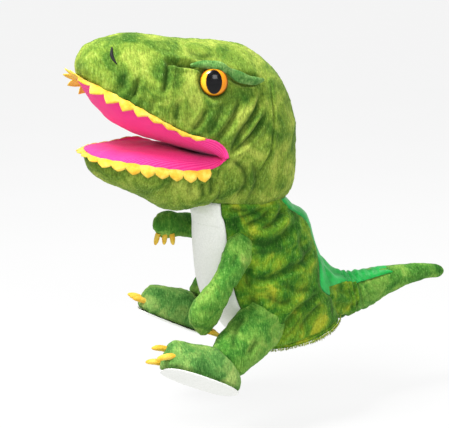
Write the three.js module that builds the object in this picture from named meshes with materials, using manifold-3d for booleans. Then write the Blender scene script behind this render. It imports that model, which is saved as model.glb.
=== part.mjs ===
/**
 * Moving mouth hand puppet: a plush dinosaur that is worn on the hand and forearm.
 *
 * Millimetres, +Z up. The puppet faces -Y and its left side is +X. The origin is the centre of the
 * hand opening, in the flat face of the hem band. Every cover is a thin wall of cloth, open where the
 * hand goes in, and every stuffed piece is one closed solid.
 */
import * as THREE from "three";
import { ParametricGeometry } from "three/addons/geometries/ParametricGeometry.js";
import { mergeGeometries, mergeVertices } from "three/addons/utils/BufferGeometryUtils.js";
import Module from "manifold-3d";

const wasm = await Module();
wasm.setup();

const { sin, cos, PI, sqrt, min, max, hypot, sign } = Math;
const rad = THREE.MathUtils.degToRad;
const lerp = THREE.MathUtils.lerp;

// Cloth and clearance
const PLUSH = 2; // thickness of the plush covers
const FELT = 1.4; // thickness of the felt teeth
const GAP = 0.35; // room left between two pieces that touch

// Head and jaw. Both are fans of half-ovals that share one axis, the mouth hinge.
const HINGE = { y: -86, z: 179 };
const HEAD_HALF_WIDTH = 57;
const JAW_HALF_WIDTH = 51.5;
const HEAD_FULLNESS = 2.4; // exponent of the head's half-oval sections: 2 is an ellipse
const JAW_FULLNESS = 2.6;
const PALATE_PITCH = rad(31); // the upper mouth rises towards the nose
const PALATE_LENGTH = 133;
const FLOOR_PITCH = rad(3); // the lower mouth is almost level
const FLOOR_LENGTH = 110;
const PALATE_BULGE = 17; // how far the soft palate hangs into the mouth
const FLOOR_BULGE = 5;
const TOOTH_LENGTH = 10;
const EYE_RADIUS = 12.5;
const EYE_TURN = new THREE.Vector3(0.93, -0.34, 0.12).normalize();
const EYE_CENTRE = new THREE.Vector3(48.5, -96, 245);

// Neck: level rings between the body and the head
const NECK_SEAM_Z = 133; // lower edge of the head cover
const NECK_TAPE = { z: 122, height: 2, y: -50, halfWidth: 45.5, halfDepth: 46 };
const NECK_TOP = { y: -53, halfWidth: 44, halfDepth: 43 };

// Body: rings from the hem up, each [y, z, tilt in degrees, half width, half depth]
const BODY_RINGS = [
  [0, 0, 14, 49, 50],
  [-13, 20, 8, 51.5, 57],
  [-25.5, 47, 3, 52.5, 63.5],
  [-36.5, 83, 0, 51, 58.5],
  [-44.5, 113, 0, 47, 51.5],
];
const HEM_SHARE = 0.33; // the hem band takes this share of the first stretch of rings
const BELLY_ANGLE = rad(45); // half the belly panel, seen from above
const SPINE_ANGLE = rad(43); // half the spine panel

// Tail: rings from the body out, each [y, z, tilt in degrees, half width, half height]
const TAIL_RINGS = [
  [64, 26.5, 4, 19.5, 19.5],
  [80, 29, 10, 18, 18.5],
  [111, 36, 12, 12.5, 13],
  [145, 39, 2, 8.5, 8.5],
  [163, 38, -8, 5.5, 5.5],
];
const TAIL_TAPE = { y: 53, thickness: 2, z: 25, halfWidth: 22, halfHeight: 19 };
const TAIL_TIP = 11; // length of the rounded end past the last ring

// Feet: the sole's centre, the turn of the sole outwards, and the shape shared by both
const FOOT_LENGTH = 74;
const FOOT_WIDTH = 38;
const FOOT_PITCH = rad(26.6);
const ANKLE = { along: -24, height: 25, slope: 0.55 }; // the seam to the leg, on the foot's own axes
const LEFT = { side: 1, sole: [71, -120, -13.5], turn: rad(28), hip: [65.5, -45, 28] };
const RIGHT = { side: -1, sole: [66, -96, 0], turn: rad(-2), hip: [66, -34, 33] };

// Toe claws: root and direction, each as across, along and above on the foot's own axes
LEFT.claws = [
  [-13.5, 35.2, 8, -4, 11, -2],
  [-6.5, 37.6, 19, -1.5, 13, -3],
  [7.5, 37.6, 9.5, -4, 13, -6],
];
RIGHT.claws = [
  [-4.2, 37.6, 8, 0, 10, -1],
  [4.2, 37.6, 8, 1, 10, -1],
  [12.8, 35.2, 8, 3, 10, -1],
];

// Materials: colour, roughness
const finish = (color, roughness) => new THREE.MeshStandardMaterial({ color, roughness, metalness: 0 });
const plush = finish(0x7fae35, 0.95);
const plushDark = finish(0x4f8a2e, 0.95);
const satin = finish(0x19b84e, 0.35);
const white = finish(0xdcddd8, 0.8);
const pink = finish(0xfa3c91, 0.75);
const yellow = finish(0xf7c93b, 0.85);
const amber = finish(0xf2a71e, 0.15);
const black = finish(0x151515, 0.6);
const foam = finish(0xf1eee2, 0.95);
const board = finish(0xcbb892, 0.8);
const tape = finish(0x3d7a2a, 0.9);

const puppet = new THREE.Group();

/** Adds one named piece to the puppet. */
function piece(name, geometry, material) {
  const mesh = new THREE.Mesh(geometry, material);
  mesh.name = name;
  puppet.add(mesh);
}

/** Joins patches into one closed surface: shared edges are merged and empty triangles dropped. */
function closed(patches) {
  const joined = mergeGeometries(patches);
  joined.deleteAttribute("normal");
  joined.deleteAttribute("uv");
  const whole = mergeVertices(joined, 2e-3);
  const corners = whole.getIndex().array;
  const kept = [];
  for (let i = 0; i < corners.length; i += 3) {
    const [a, b, c] = corners.slice(i, i + 3);
    if (a !== b && b !== c && c !== a) kept.push(a, b, c);
  }
  whole.setIndex(kept);
  if (volume(whole) < 0) whole.setIndex(kept.reverse());
  whole.computeVertexNormals();
  return whole;
}

/** Signed volume of a closed surface. */
function volume(geometry) {
  const at = geometry.getAttribute("position");
  const corners = geometry.getIndex().array;
  const [a, b, c] = [new THREE.Vector3(), new THREE.Vector3(), new THREE.Vector3()];
  let total = 0;
  for (let i = 0; i < corners.length; i += 3) {
    a.fromBufferAttribute(at, corners[i]);
    b.fromBufferAttribute(at, corners[i + 1]);
    c.fromBufferAttribute(at, corners[i + 2]);
    total += a.dot(b.cross(c)) / 6;
  }
  return total;
}

/** A patch of surface over the unit square. */
function patch(point, across, along) {
  return new ParametricGeometry((u, v, target) => target.copy(point(u, v)), across, along);
}

/** A solid between an inner surface (w = 0) and an outer one (w = 1), with its four edges walled. */
function slab(point, across, along, ring = false) {
  const faces = [
    patch((u, v) => point(u, v, 1), across, along),
    patch((u, v) => point(1 - u, v, 0), across, along),
    patch((u, w) => point(u, 0, w), across, 1),
    patch((u, w) => point(1 - u, 1, w), across, 1),
  ];
  if (!ring) {
    faces.push(patch((v, w) => point(1, v, w), along, 1));
    faces.push(patch((v, w) => point(0, 1 - v, w), along, 1));
  }
  return closed(faces);
}

/** A stuffed solid: rings (v) round a path, both ends closed by a flat fan. */
function pod(point, around, along, centreOf) {
  const faces = [
    patch(point, around, along),
    patch((u, s) => point(1 - u, 0).lerp(centreOf(0), s), around, 1),
    patch((u, s) => point(u, 1).lerp(centreOf(1), s), around, 1),
  ];
  return closed(faces);
}

/** A geometry as a manifold solid, for cutting. */
function asSolid(geometry) {
  const bare = geometry.clone();
  bare.deleteAttribute("normal");
  bare.deleteAttribute("uv");
  const whole = mergeVertices(bare, 1e-3);
  return new wasm.Manifold(
    new wasm.Mesh({
      numProp: 3,
      vertProperties: new Float32Array(whole.getAttribute("position").array),
      triVerts: new Uint32Array(whole.getIndex().array),
    }),
  );
}

/** A manifold solid back as a geometry. */
function asGeometry(solid) {
  const mesh = solid.getMesh();
  const geometry = new THREE.BufferGeometry();
  geometry.setAttribute("position", new THREE.BufferAttribute(mesh.vertProperties.slice(), 3));
  geometry.setIndex(new THREE.BufferAttribute(mesh.triVerts.slice(), 1));
  geometry.computeVertexNormals();
  return geometry;
}

/** Rings given as rows of numbers, read smoothly between the rows; at counts rows from 0. */
function between(rows, at) {
  const places = rows.map((_, i) => i);
  const cubic = new THREE.CubicInterpolant(places, rows.flat(), rows[0].length);
  return Array.from(cubic.evaluate(min(max(at, 0), rows.length - 1)));
}

// ---------------------------------------------------------------- head and jaw

/** A point in the plane x = 0, at a distance and an angle from the mouth hinge. */
function fromHinge(length, angle) {
  return new THREE.Vector2(HINGE.y + length * cos(angle), HINGE.z + length * sin(angle));
}

const headOutline = new THREE.SplineCurve([
  fromHinge(PALATE_LENGTH, PI - PALATE_PITCH),
  new THREE.Vector2(-201, 262),
  new THREE.Vector2(-190, 277),
  new THREE.Vector2(-155, 285),
  new THREE.Vector2(-113, 279.5),
  new THREE.Vector2(-69, 276),
  new THREE.Vector2(-45, 269),
  new THREE.Vector2(-18, 245),
  new THREE.Vector2(-3, 209),
  new THREE.Vector2(0, 182),
  new THREE.Vector2(-2, 150),
  new THREE.Vector2(-10, 133),
  new THREE.Vector2(-21, 123.6),
  new THREE.Vector2(-41.6, 117.2),
  new THREE.Vector2(-75.4, 125),
  fromHinge(47.6, -rad(95)),
]);

const throatOutline = new THREE.SplineCurve([fromHinge(44.5, -rad(96)), fromHinge(51.5, -rad(114))]);

const jawOutline = new THREE.SplineCurve([
  fromHinge(55, -rad(115)),
  new THREE.Vector2(-120, 128),
  new THREE.Vector2(-134, 132),
  new THREE.Vector2(-148, 142),
  new THREE.Vector2(-165, 152),
  new THREE.Vector2(-185, 162.5),
  new THREE.Vector2(-194, 173),
  fromHinge(FLOOR_LENGTH, PI - FLOOR_PITCH),
]);

/**
 * A point of the fan: u runs along the outline, s from the middle (0) to a mouth corner (1 or -1).
 * Every section is a half-oval whose ends meet on the hinge. No point goes below the floor height.
 */
function fan({ outline, halfWidth, fullness, inset = 0, floor = -1e9 }, u, s) {
  const p = outline.getPoint(u);
  const y = p.x - HINGE.y;
  const z = p.y - HINGE.z;
  const shrink = 1 - inset / hypot(y, z);
  const reach = z * shrink < floor - HINGE.z ? (floor - HINGE.z) / (z * shrink) : 1;
  const f = reach * cos((s * PI) / 2) ** (2 / fullness);
  const x = (halfWidth - inset) * max(0, 1 - f ** fullness) ** (1 / fullness);
  return new THREE.Vector3(s < 0 ? -x : x, HINGE.y + f * shrink * y, HINGE.z + f * shrink * z);
}

const headSkin = { outline: headOutline, halfWidth: HEAD_HALF_WIDTH, fullness: HEAD_FULLNESS };
const jawSkin = { outline: jawOutline, halfWidth: JAW_HALF_WIDTH, fullness: JAW_FULLNESS };
const throatSkin = { outline: throatOutline, halfWidth: 54, fullness: HEAD_FULLNESS };

/** The lining's edge on one mouth plane: half width at a distance from the hinge. */
function rimHalfWidth(length, halfWidth, fullness, reach) {
  return halfWidth * max(0, 1 - (reach / length) ** fullness) ** (1 / fullness);
}

/** Axes of a mouth plane: forwards along it, and away from the mouth into the head or jaw. */
function mouthPlane(pitch, upper) {
  const ahead = new THREE.Vector3(0, -cos(pitch), sin(pitch));
  const away = new THREE.Vector3(0, sin(pitch), cos(pitch)).multiplyScalar(upper ? 1 : -1);
  return (x, reach, depth) =>
    new THREE.Vector3(x, HINGE.y, HINGE.z).addScaledVector(ahead, reach).addScaledVector(away, depth);
}

const palate = mouthPlane(PALATE_PITCH, true);
const floor = mouthPlane(FLOOR_PITCH, false);
const UPPER = { place: palate, length: PALATE_LENGTH, half: HEAD_HALF_WIDTH, fullness: HEAD_FULLNESS };
const LOWER = { place: floor, length: FLOOR_LENGTH, half: JAW_HALF_WIDTH, fullness: JAW_FULLNESS };

/** A plate or pad in a mouth plane, inset from the cover, between two depths. */
function mouthPlate(mouth, start, inset, near, far, bulge = 0) {
  const end = mouth.length - inset - 0.8;
  return slab(
    (u, v, w) => {
      const reach = lerp(start, end, sin((v * PI) / 2));
      const half = rimHalfWidth(mouth.length - inset, mouth.half - inset, mouth.fullness, reach);
      const across = 2 * u - 1;
      const front = sqrt(max(0, 1 - max(0, reach / end - 0.45) ** 2 / 0.55 ** 2));
      const swell = min(bulge * front, reach * (bulge / (PALATE_BULGE + FLOOR_BULGE)) * 0.43);
      return mouth.place(across * half, reach, lerp(near - swell * (1 - across ** 2), far, w));
    },
    8,
    8,
  );
}

/** A felt strip with pointed teeth along a rim; it stands off the cover by half its thickness. */
function teeth(mouth, { count, startShare, drop, rise, flare, lean }) {
  const reachAngle = (PI / 2) * startShare;
  return slab(
    (u, v, w) => {
      const s = lerp(-1, 1, u) * reachAngle;
      const offset = rise + FELT * w;
      const reach = (mouth.length + offset) * cos(s) ** (2 / mouth.fullness);
      const x = sign(s) * (mouth.half + offset) * Math.abs(sin(s)) ** (2 / mouth.fullness);
      const phase = (u * count) % 1;
      const point = 1 - Math.abs(2 * phase - 1);
      const size = 0.55 + 0.45 * cos(s) ** 0.5;
      const length = v * drop * size * (0.3 + 0.7 * point);
      const out = 1 + (flare * length) / mouth.length;
      return mouth.place(x * out, reach * out + lean * length, -GAP * v - length * mouth.down);
    },
    2 * count,
    1,
  );
}
UPPER.down = 1;
LOWER.down = -1;

/** A pocket wall arched over a mouth board: round in section and lower towards the front. */
function pocket(mouth, { start, end, halfWidths, heights, base }) {
  const wall = 1.5;
  return slab(
    (u, v, w) => {
      const inset = wall * (1 - w);
      const half = lerp(halfWidths[0], halfWidths[1], v) - inset;
      const rise = lerp(heights[0], heights[1], v) - inset;
      return mouth.place(-half * cos(u * PI), lerp(start, end, v), base + rise * sin(u * PI));
    },
    12,
    4,
  );
}

/** One half of the head cover, from the nose over the top and down to the neck seam. */
function headHalf(side) {
  const wall = slab(
    (u, v, w) => {
      const skin = { ...headSkin, inset: PLUSH * (1 - w), floor: NECK_SEAM_Z };
      const p = fan(skin, u, v);
      p.x = side * max(GAP / 2, p.x);
      return p;
    },
    30,
    8,
  );
  return asGeometry(asSolid(wall).subtract(asSolid(eyeHole(side))));
}

/** Turns a shape whose axis is +Y so that it looks out of the left or right eye. */
function atEye(geometry, side) {
  const look = EYE_TURN.clone().multiply(new THREE.Vector3(side, 1, 1));
  const turn = new THREE.Quaternion().setFromUnitVectors(new THREE.Vector3(0, 1, 0), look);
  const centre = EYE_CENTRE.clone().multiply(new THREE.Vector3(side, 1, 1));
  return geometry.applyQuaternion(turn).translate(centre.x, centre.y, centre.z);
}

/** The round hole that an eye sits in. */
function eyeHole(side) {
  return atEye(new THREE.CylinderGeometry(EYE_RADIUS + GAP, EYE_RADIUS + GAP, 30, 24), side);
}

/** A domed safety eye with its stem. */
function eye(side) {
  const profile = [new THREE.Vector2(0, -16), new THREE.Vector2(2.5, -16), new THREE.Vector2(2.5, -4)];
  profile.push(new THREE.Vector2(EYE_RADIUS, -4), new THREE.Vector2(EYE_RADIUS, 1.5));
  const steps = 4;
  for (let i = 1; i <= steps; i++) {
    const a = (i / steps) * (PI / 2);
    profile.push(new THREE.Vector2(i === steps ? 0 : EYE_RADIUS * cos(a), 1.5 + 6 * sin(a)));
  }
  return atEye(closed([new THREE.LatheGeometry(profile, 18)]), side);
}

/** The locking washer behind an eye. */
function eyeWasher(side) {
  const profile = [
    new THREE.Vector2(2.9, -14),
    new THREE.Vector2(9, -14),
    new THREE.Vector2(9, -11.5),
    new THREE.Vector2(2.9, -11.5),
    new THREE.Vector2(2.9, -14),
  ];
  return atEye(closed([new THREE.LatheGeometry(profile, 12)]), side);
}

/** A stuffed roll of fabric along a path, round in section and pointed at both ends. */
function roll(path, radius, around = 8, along = 10) {
  const centre = (v) => path.getPoint(v);
  return pod(
    (u, v) => {
      const ahead = path.getTangent(v);
      const up = new THREE.Vector3(0, 0, 1).addScaledVector(ahead, -ahead.z).normalize();
      const out = new THREE.Vector3().crossVectors(ahead, up);
      const size = radius * sqrt(max(0, sin(PI * v)));
      const angle = 2 * PI * u;
      return centre(v).addScaledVector(up, size * sin(angle)).addScaledVector(out, size * cos(angle));
    },
    around,
    along,
    centre,
  );
}

/** The padded brow that lies on the head and over the top of an eye. */
function brow(side) {
  const points = [
    [46, -113, 262.5],
    [47, -93, 260],
    [50.5, -72, 251.5],
    [48.5, -49, 248],
  ];
  const path = new THREE.CatmullRomCurve3(points.map(([x, y, z]) => new THREE.Vector3(side * x, y, z)));
  return asGeometry(asSolid(roll(path, 4.2)).subtract(asSolid(eyeHole(side))));
}

/** An embroidered nostril, a thin upright oval on the side of the nose. */
function nostril(side) {
  return slab(
    (u, v, w) => {
      const high = 2 * v - 1;
      const wide = (2 * u - 1) * sqrt(max(0, 1 - high ** 2));
      const out = GAP + 0.9 * w;
      const at = fan({ ...headSkin, inset: -out }, 0.135 + 0.006 * wide, 0.31 + 0.07 * high);
      return new THREE.Vector3(side * at.x, at.y, at.z);
    },
    2,
    6,
  );
}

/** Foam between the finger pocket and the head cover. */
function headFoam() {
  return slab(
    (u, v, w) => {
      const skin = { ...headSkin, inset: PLUSH + 2.5 };
      const core = new THREE.Vector3(0, HINGE.y, HINGE.z);
      const at = fan(skin, lerp(0.1, 0.52, u), lerp(-0.3, 0.3, v));
      return core.lerp(at, lerp(0.76, 1, w));
    },
    12,
    6,
  );
}

/** Foam in the chin, between the thumb pocket and the jaw cover. */
function chinFoam() {
  return slab(
    (u, v, w) => {
      const skin = { ...jawSkin, inset: PLUSH + 1.5 };
      const core = new THREE.Vector3(0, HINGE.y, HINGE.z);
      const at = fan(skin, lerp(0.2, 0.8, u), lerp(-0.45, 0.45, v));
      return core.lerp(at, lerp(0.84, 1, w));
    },
    8,
    6,
  );
}

function buildHead() {
  for (const [name, side] of [
    ["left", 1],
    ["right", -1],
  ]) {
    piece(`head_cover_${name}`, headHalf(side), plush);
    piece(`${name}_eye`, eye(side), amber);
    piece(`${name}_eye_washer`, eyeWasher(side), foam);
    piece(`${name}_brow`, brow(side), plushDark);
    piece(`${name}_nostril`, nostril(side), black);
  }
  piece("palate_lining", mouthPlate(UPPER, 12, PLUSH + 1, 0, 1.5, PALATE_BULGE), pink);
  piece("upper_mouth_board", mouthPlate(UPPER, 24, 10, 1.9, 3.9), board);
  const fingers = { start: 24, end: 108, halfWidths: [38, 26], heights: [26, 9], base: 4.3 };
  piece("finger_pocket", pocket(UPPER, fingers), foam);
  piece("head_foam", headFoam(), foam);
  const upperTeeth = { count: 26, startShare: 0.82, drop: TOOTH_LENGTH, rise: -FELT, flare: 0.25, lean: 0 };
  piece("upper_teeth", teeth(UPPER, upperTeeth), yellow);
}

function buildJaw() {
  const cover = slab((u, v, w) => fan({ ...jawSkin, inset: PLUSH * (1 - w) }, u, 2 * v - 1), 14, 16);
  piece("jaw_cover", cover, plush);
  piece("jaw_lining", mouthPlate(LOWER, 12, PLUSH + 1, 0, 1.5, FLOOR_BULGE), pink);
  piece("lower_mouth_board", mouthPlate(LOWER, 24, 10, 1.9, 3.9), board);
  const thumb = { start: 24, end: 82, halfWidths: [22, 16], heights: [17, 8], base: 4.3 };
  piece("thumb_pocket", pocket(LOWER, thumb), foam);
  piece("chin_foam", chinFoam(), foam);
  const lowerTeeth = { count: 22, startShare: 0.9, drop: 8, rise: GAP, flare: 0.12, lean: 0.12 };
  piece("lower_teeth", teeth(LOWER, lowerTeeth), yellow);
  const throat = slab((u, v, w) => fan({ ...throatSkin, inset: 1.5 * (1 - w) }, u, 2 * v - 1), 3, 16);
  piece("throat_gusset", throat, plushDark);
}

// ---------------------------------------------------------------- neck and body

/** A level oval ring of cloth between two heights; its outline changes evenly from low to high. */
function neckBand(low, high, wall) {
  return slab(
    (u, v, w) => {
      const a = 2 * PI * u;
      const mix = (key) => lerp(low[key], high[key], v);
      const inset = wall * (1 - w);
      const x = (mix("halfWidth") - inset) * sin(a);
      return new THREE.Vector3(x, mix("y") - (mix("halfDepth") - inset) * cos(a), mix("z"));
    },
    28,
    1,
    true,
  );
}

function buildNeck() {
  const [y, z, , halfWidth, halfDepth] = BODY_RINGS.at(-1);
  const bodyTop = { y, z: z + GAP, halfWidth, halfDepth };
  const low = { ...NECK_TAPE };
  const high = { ...NECK_TAPE, z: NECK_TAPE.z + NECK_TAPE.height };
  piece("neck_tape", neckBand(low, high, 3), tape);
  piece("neck_gusset_lower", neckBand(bodyTop, { ...low, z: low.z - GAP }, 1.5), plushDark);
  const seam = { ...NECK_TOP, z: NECK_SEAM_Z - GAP - 1 };
  piece("neck_gusset_upper", neckBand({ ...high, z: high.z + GAP }, seam, 1.5), plushDark);
}

/** A point of the body cover: angle 0 is the front, a quarter turn is the left side. */
function body(angle, at, inset = 0) {
  const [y, z, tilt, halfWidth, halfDepth] = between(BODY_RINGS, at);
  const back = (halfDepth - inset) * -cos(angle);
  const x = (halfWidth - inset) * sin(angle);
  return new THREE.Vector3(x, y + back * cos(rad(tilt)), z + back * sin(rad(tilt)));
}

/** A panel of the body cover between two angles. */
function bodyPanel(from, to, across) {
  const top = BODY_RINGS.length - 1;
  return slab(
    (u, v, w) => body(lerp(from, to, u), lerp(HEM_SHARE + 0.015, top, v), PLUSH * (1 - w)),
    across,
    8,
  );
}

function buildBody() {
  const seam = rad(0.25);
  piece("belly_panel", bodyPanel(-BELLY_ANGLE + seam, BELLY_ANGLE - seam, 9), white);
  piece("side_panel_left", bodyPanel(BELLY_ANGLE + seam, PI - SPINE_ANGLE - seam, 9), plush);
  piece("spine_panel", bodyPanel(PI - SPINE_ANGLE + seam, PI + SPINE_ANGLE - seam, 9), satin);
  piece("side_panel_right", bodyPanel(PI + SPINE_ANGLE + seam, 2 * PI - BELLY_ANGLE - seam, 9), plush);
  const hem = slab((u, v, w) => body(2 * PI * u, v * HEM_SHARE, lerp(3, -0.6, w)), 28, 1, true);
  piece("hem_band", hem, plushDark);
}

// ---------------------------------------------------------------- tail

/** A point of the tail's surface; at counts rings and runs past the last one round the tip. */
function tail(angle, at, inset = 0) {
  const last = TAIL_RINGS.length - 1;
  const over = min(1, max(0, at - last));
  const [y, z, tilt, halfWidth, halfHeight] = between(TAIL_RINGS, at);
  const round = sqrt(max(0, 1 - over ** 2));
  const up = max(0, halfHeight - inset) * round * cos(angle);
  const along = max(0, TAIL_TIP - inset) * over;
  const x = max(0, halfWidth - inset) * round * sin(angle);
  return new THREE.Vector3(
    x,
    y + along * cos(rad(tilt)) - up * sin(rad(tilt)),
    z + along * sin(rad(tilt)) + up * cos(rad(tilt)),
  );
}

/** An upright oval ring of cloth behind the body, between two planes. */
function tailBand(near, far, wall) {
  return slab(
    (u, v, w) => {
      const a = 2 * PI * u;
      const mix = (key) => lerp(near[key], far[key], v);
      const inset = wall * (1 - w);
      const up = (mix("halfHeight") - inset) * cos(a);
      return new THREE.Vector3((mix("halfWidth") - inset) * sin(a), mix("y") - mix("lean") * up, mix("z") + up);
    },
    24,
    1,
    true,
  );
}

function buildTail() {
  const near = { ...TAIL_TAPE, lean: 0 };
  const far = { ...near, y: near.y + TAIL_TAPE.thickness };
  piece("tail_tape", tailBand(near, far, 3), tape);
  const root = { ...near, y: 47.6, z: 26, lean: 0.17 };
  piece("tail_gusset_inner", tailBand(root, { ...near, y: near.y - GAP }, 1.5), plushDark);
  const [y, z, , halfWidth, halfHeight] = TAIL_RINGS[0];
  const mouth = { y: y - 1.8, z, halfWidth, halfHeight, lean: 0 };
  piece("tail_gusset_outer", tailBand({ ...far, y: far.y + GAP }, mouth, 1.5), plushDark);
  const last = TAIL_RINGS.length;
  const ease = (v) => (v < 0.7 ? lerp(0, last - 1, v / 0.7) : last - 1 + sin(((v - 0.7) / 0.3) * (PI / 2)));
  piece("tail_cover", slab((u, v, w) => tail(2 * PI * u, ease(v), PLUSH * (1 - w)), 16, 12, true), plush);
  const inside = PLUSH + 1;
  const filling = (u, v) => tail(2 * PI * u, lerp(0.1, last - 1, v), inside);
  const middle = (v) => filling(0, v).lerp(filling(0.5, v), 0.5);
  piece("tail_stuffing", pod(filling, 12, 8, middle), foam);
  const strip = (u, v, w) => tail(rad(lerp(-48, 48, u)), lerp(0.08, 1.95, v), lerp(-GAP, -GAP - 1, w));
  piece("tail_spine_strip", slab(strip, 8, 8), satin);
}

// ---------------------------------------------------------------- arms, legs and feet

/** A stuffed limb along a path; size(v) gives its half width and half height. */
function limb(points, size, around = 14, along = 10) {
  const path = new THREE.CatmullRomCurve3(points.map((p) => new THREE.Vector3(...p)));
  const centre = (v) => path.getPoint(v);
  return pod(
    (u, v) => {
      const ahead = path.getTangent(v);
      const sideways = new THREE.Vector3(1, 0, 0).addScaledVector(ahead, -ahead.x).normalize();
      const over = new THREE.Vector3().crossVectors(sideways, ahead);
      const [halfWidth, halfHeight] = size(v);
      const angle = 2 * PI * u;
      return centre(v)
        .addScaledVector(sideways, halfWidth * cos(angle))
        .addScaledVector(over, halfHeight * sin(angle));
    },
    around,
    along,
    centre,
  );
}

/** Share of full size near the end of a stuffed piece, so that it closes round. */
const roundEnd = (v, from) => (v < from ? 1 : sqrt(max(0.02, 1 - ((v - from) / (1 - from)) ** 2)));

/** A small tapered claw from its base along a direction. */
function claw(base, ahead, length, radius) {
  const profile = [
    new THREE.Vector2(0, 0),
    new THREE.Vector2(radius, 0),
    new THREE.Vector2(radius * 0.9, length * 0.45),
    new THREE.Vector2(radius * 0.5, length * 0.85),
    new THREE.Vector2(0, length),
  ];
  const turn = new THREE.Quaternion().setFromUnitVectors(new THREE.Vector3(0, 1, 0), ahead.normalize());
  return closed([new THREE.LatheGeometry(profile, 8).applyQuaternion(turn).translate(base.x, base.y, base.z)]);
}

function buildArms() {
  const left = [
    [55.5, -74, 84],
    [52, -86, 65],
    [43, -100, 49],
    [34, -106, 34],
    [31, -107, 21],
  ];
  const right = [
    [-53, -76, 96],
    [-49, -93, 99],
    [-41, -107, 102],
    [-33, -120, 104],
  ];
  const girth = (v) => [lerp(11.3, 13.2, v) * roundEnd(v, 0.72), lerp(11.3, 13.5, v) * roundEnd(v, 0.72)];
  piece("left_arm", limb(left, girth), plush);
  piece("right_arm", limb(right, (v) => girth(v).map((r) => 0.9 * r)), plush);
  [-1, 0, 1].forEach((i) => {
    const down = new THREE.Vector3(33 + 6.5 * i, -97.5, 18.6 - Math.abs(i) * 0.2);
    piece(`left_hand_claw_${i + 2}`, claw(down, new THREE.Vector3(0.08 * i, 0.9, -0.3), 10, 2.4), yellow);
    const hang = new THREE.Vector3(-36 + 2.5 * i, -112.5 + 5.5 * i, 91.4 - Math.abs(i) * 0.4);
    piece(`right_hand_claw_${i + 2}`, claw(hang, new THREE.Vector3(0, 0.12 * i, -1), 10, 2.3), yellow);
  });
}

/** Places a point given on a foot's own axes (across, along the sole, above it) in the puppet. */
function onFoot({ side, sole, turn }, across, along, above) {
  const x = across * cos(turn) - above * sin(turn);
  const n = across * sin(turn) + above * cos(turn);
  const y = sole[1] - along * cos(FOOT_PITCH) + n * sin(FOOT_PITCH);
  const z = sole[2] + along * sin(FOOT_PITCH) + n * cos(FOOT_PITCH);
  return new THREE.Vector3(side * (sole[0] + x), y, z);
}

/** Half width of the sole at a place along it. */
function soleHalfWidth(along, inset = 0) {
  const half = FOOT_LENGTH / 2 - inset;
  return (FOOT_WIDTH / 2 - inset) * max(0, 1 - Math.abs(along / half) ** 2.6) ** (1 / 2.6);
}

/** Height of the foot above its sole: the ankle seam slopes up from the heel, then the toes fall. */
function instep(along) {
  const seam = ANKLE.height + (along - ANKLE.along) * ANKLE.slope - 2;
  const toes = 33 - 8 * max(0, (along + 7) / 44);
  return min(seam, toes);
}

function foot(leg) {
  const half = FOOT_LENGTH / 2;
  return slab(
    (u, v, w) => {
      const along = -half * cos(PI * v);
      const reach = soleHalfWidth(along);
      const height = instep(along) * sin(PI * u) ** 0.55 * w * min(1, (12 * reach) / FOOT_WIDTH);
      return onFoot(leg, reach * -cos(PI * u), along, height);
    },
    10,
    12,
  );
}

function sole(leg) {
  const half = FOOT_LENGTH / 2 - 1;
  return slab(
    (u, v, w) => {
      const along = -half * cos(PI * v);
      return onFoot(leg, (2 * u - 1) * soleHalfWidth(along, 1), along, -lerp(GAP + 1.3, GAP, w));
    },
    4,
    12,
  );
}

function leg(spec) {
  const offSeam = (gap) => onFoot(spec, 0, ANKLE.along - 0.48 * gap, ANKLE.height + 0.88 * gap);
  const hip = [spec.side * spec.hip[0], spec.hip[1], spec.hip[2]];
  const size = (v) => [lerp(11.2, 16, v), lerp(29, 19, v ** 0.8)];
  return limb([hip, offSeam(18).toArray(), offSeam(3).toArray()], size, 16, 6);
}

function buildLegs() {
  for (const [name, spec] of [
    ["left", LEFT],
    ["right", RIGHT],
  ]) {
    piece(`${name}_leg`, leg(spec), plush);
    piece(`${name}_foot`, foot(spec), plush);
    piece(`${name}_sole`, sole(spec), white);
    spec.claws.forEach(([across, along, above, ...step], i) => {
      const base = onFoot(spec, across, along, above);
      const ahead = onFoot(spec, across + step[0], along + step[1], above + step[2]).sub(base);
      piece(`${name}_toe_claw_${i + 1}`, claw(base, ahead, 13, 3.4), yellow);
    });
  }
}

buildHead();
buildJaw();
buildNeck();
buildBody();
buildTail();
buildArms();
buildLegs();

export default puppet;
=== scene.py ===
"""Looks of the moving mouth hand puppet: plush skins, felt teeth, satin back and stuffed limbs.

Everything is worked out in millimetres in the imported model's own frame and written into meshes in
metres. The puppet faces -Y, its left side is +X, and +Z is up.
"""

import logging
import math
from abc import ABC, abstractmethod
from dataclasses import dataclass, field
from enum import Enum

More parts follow.
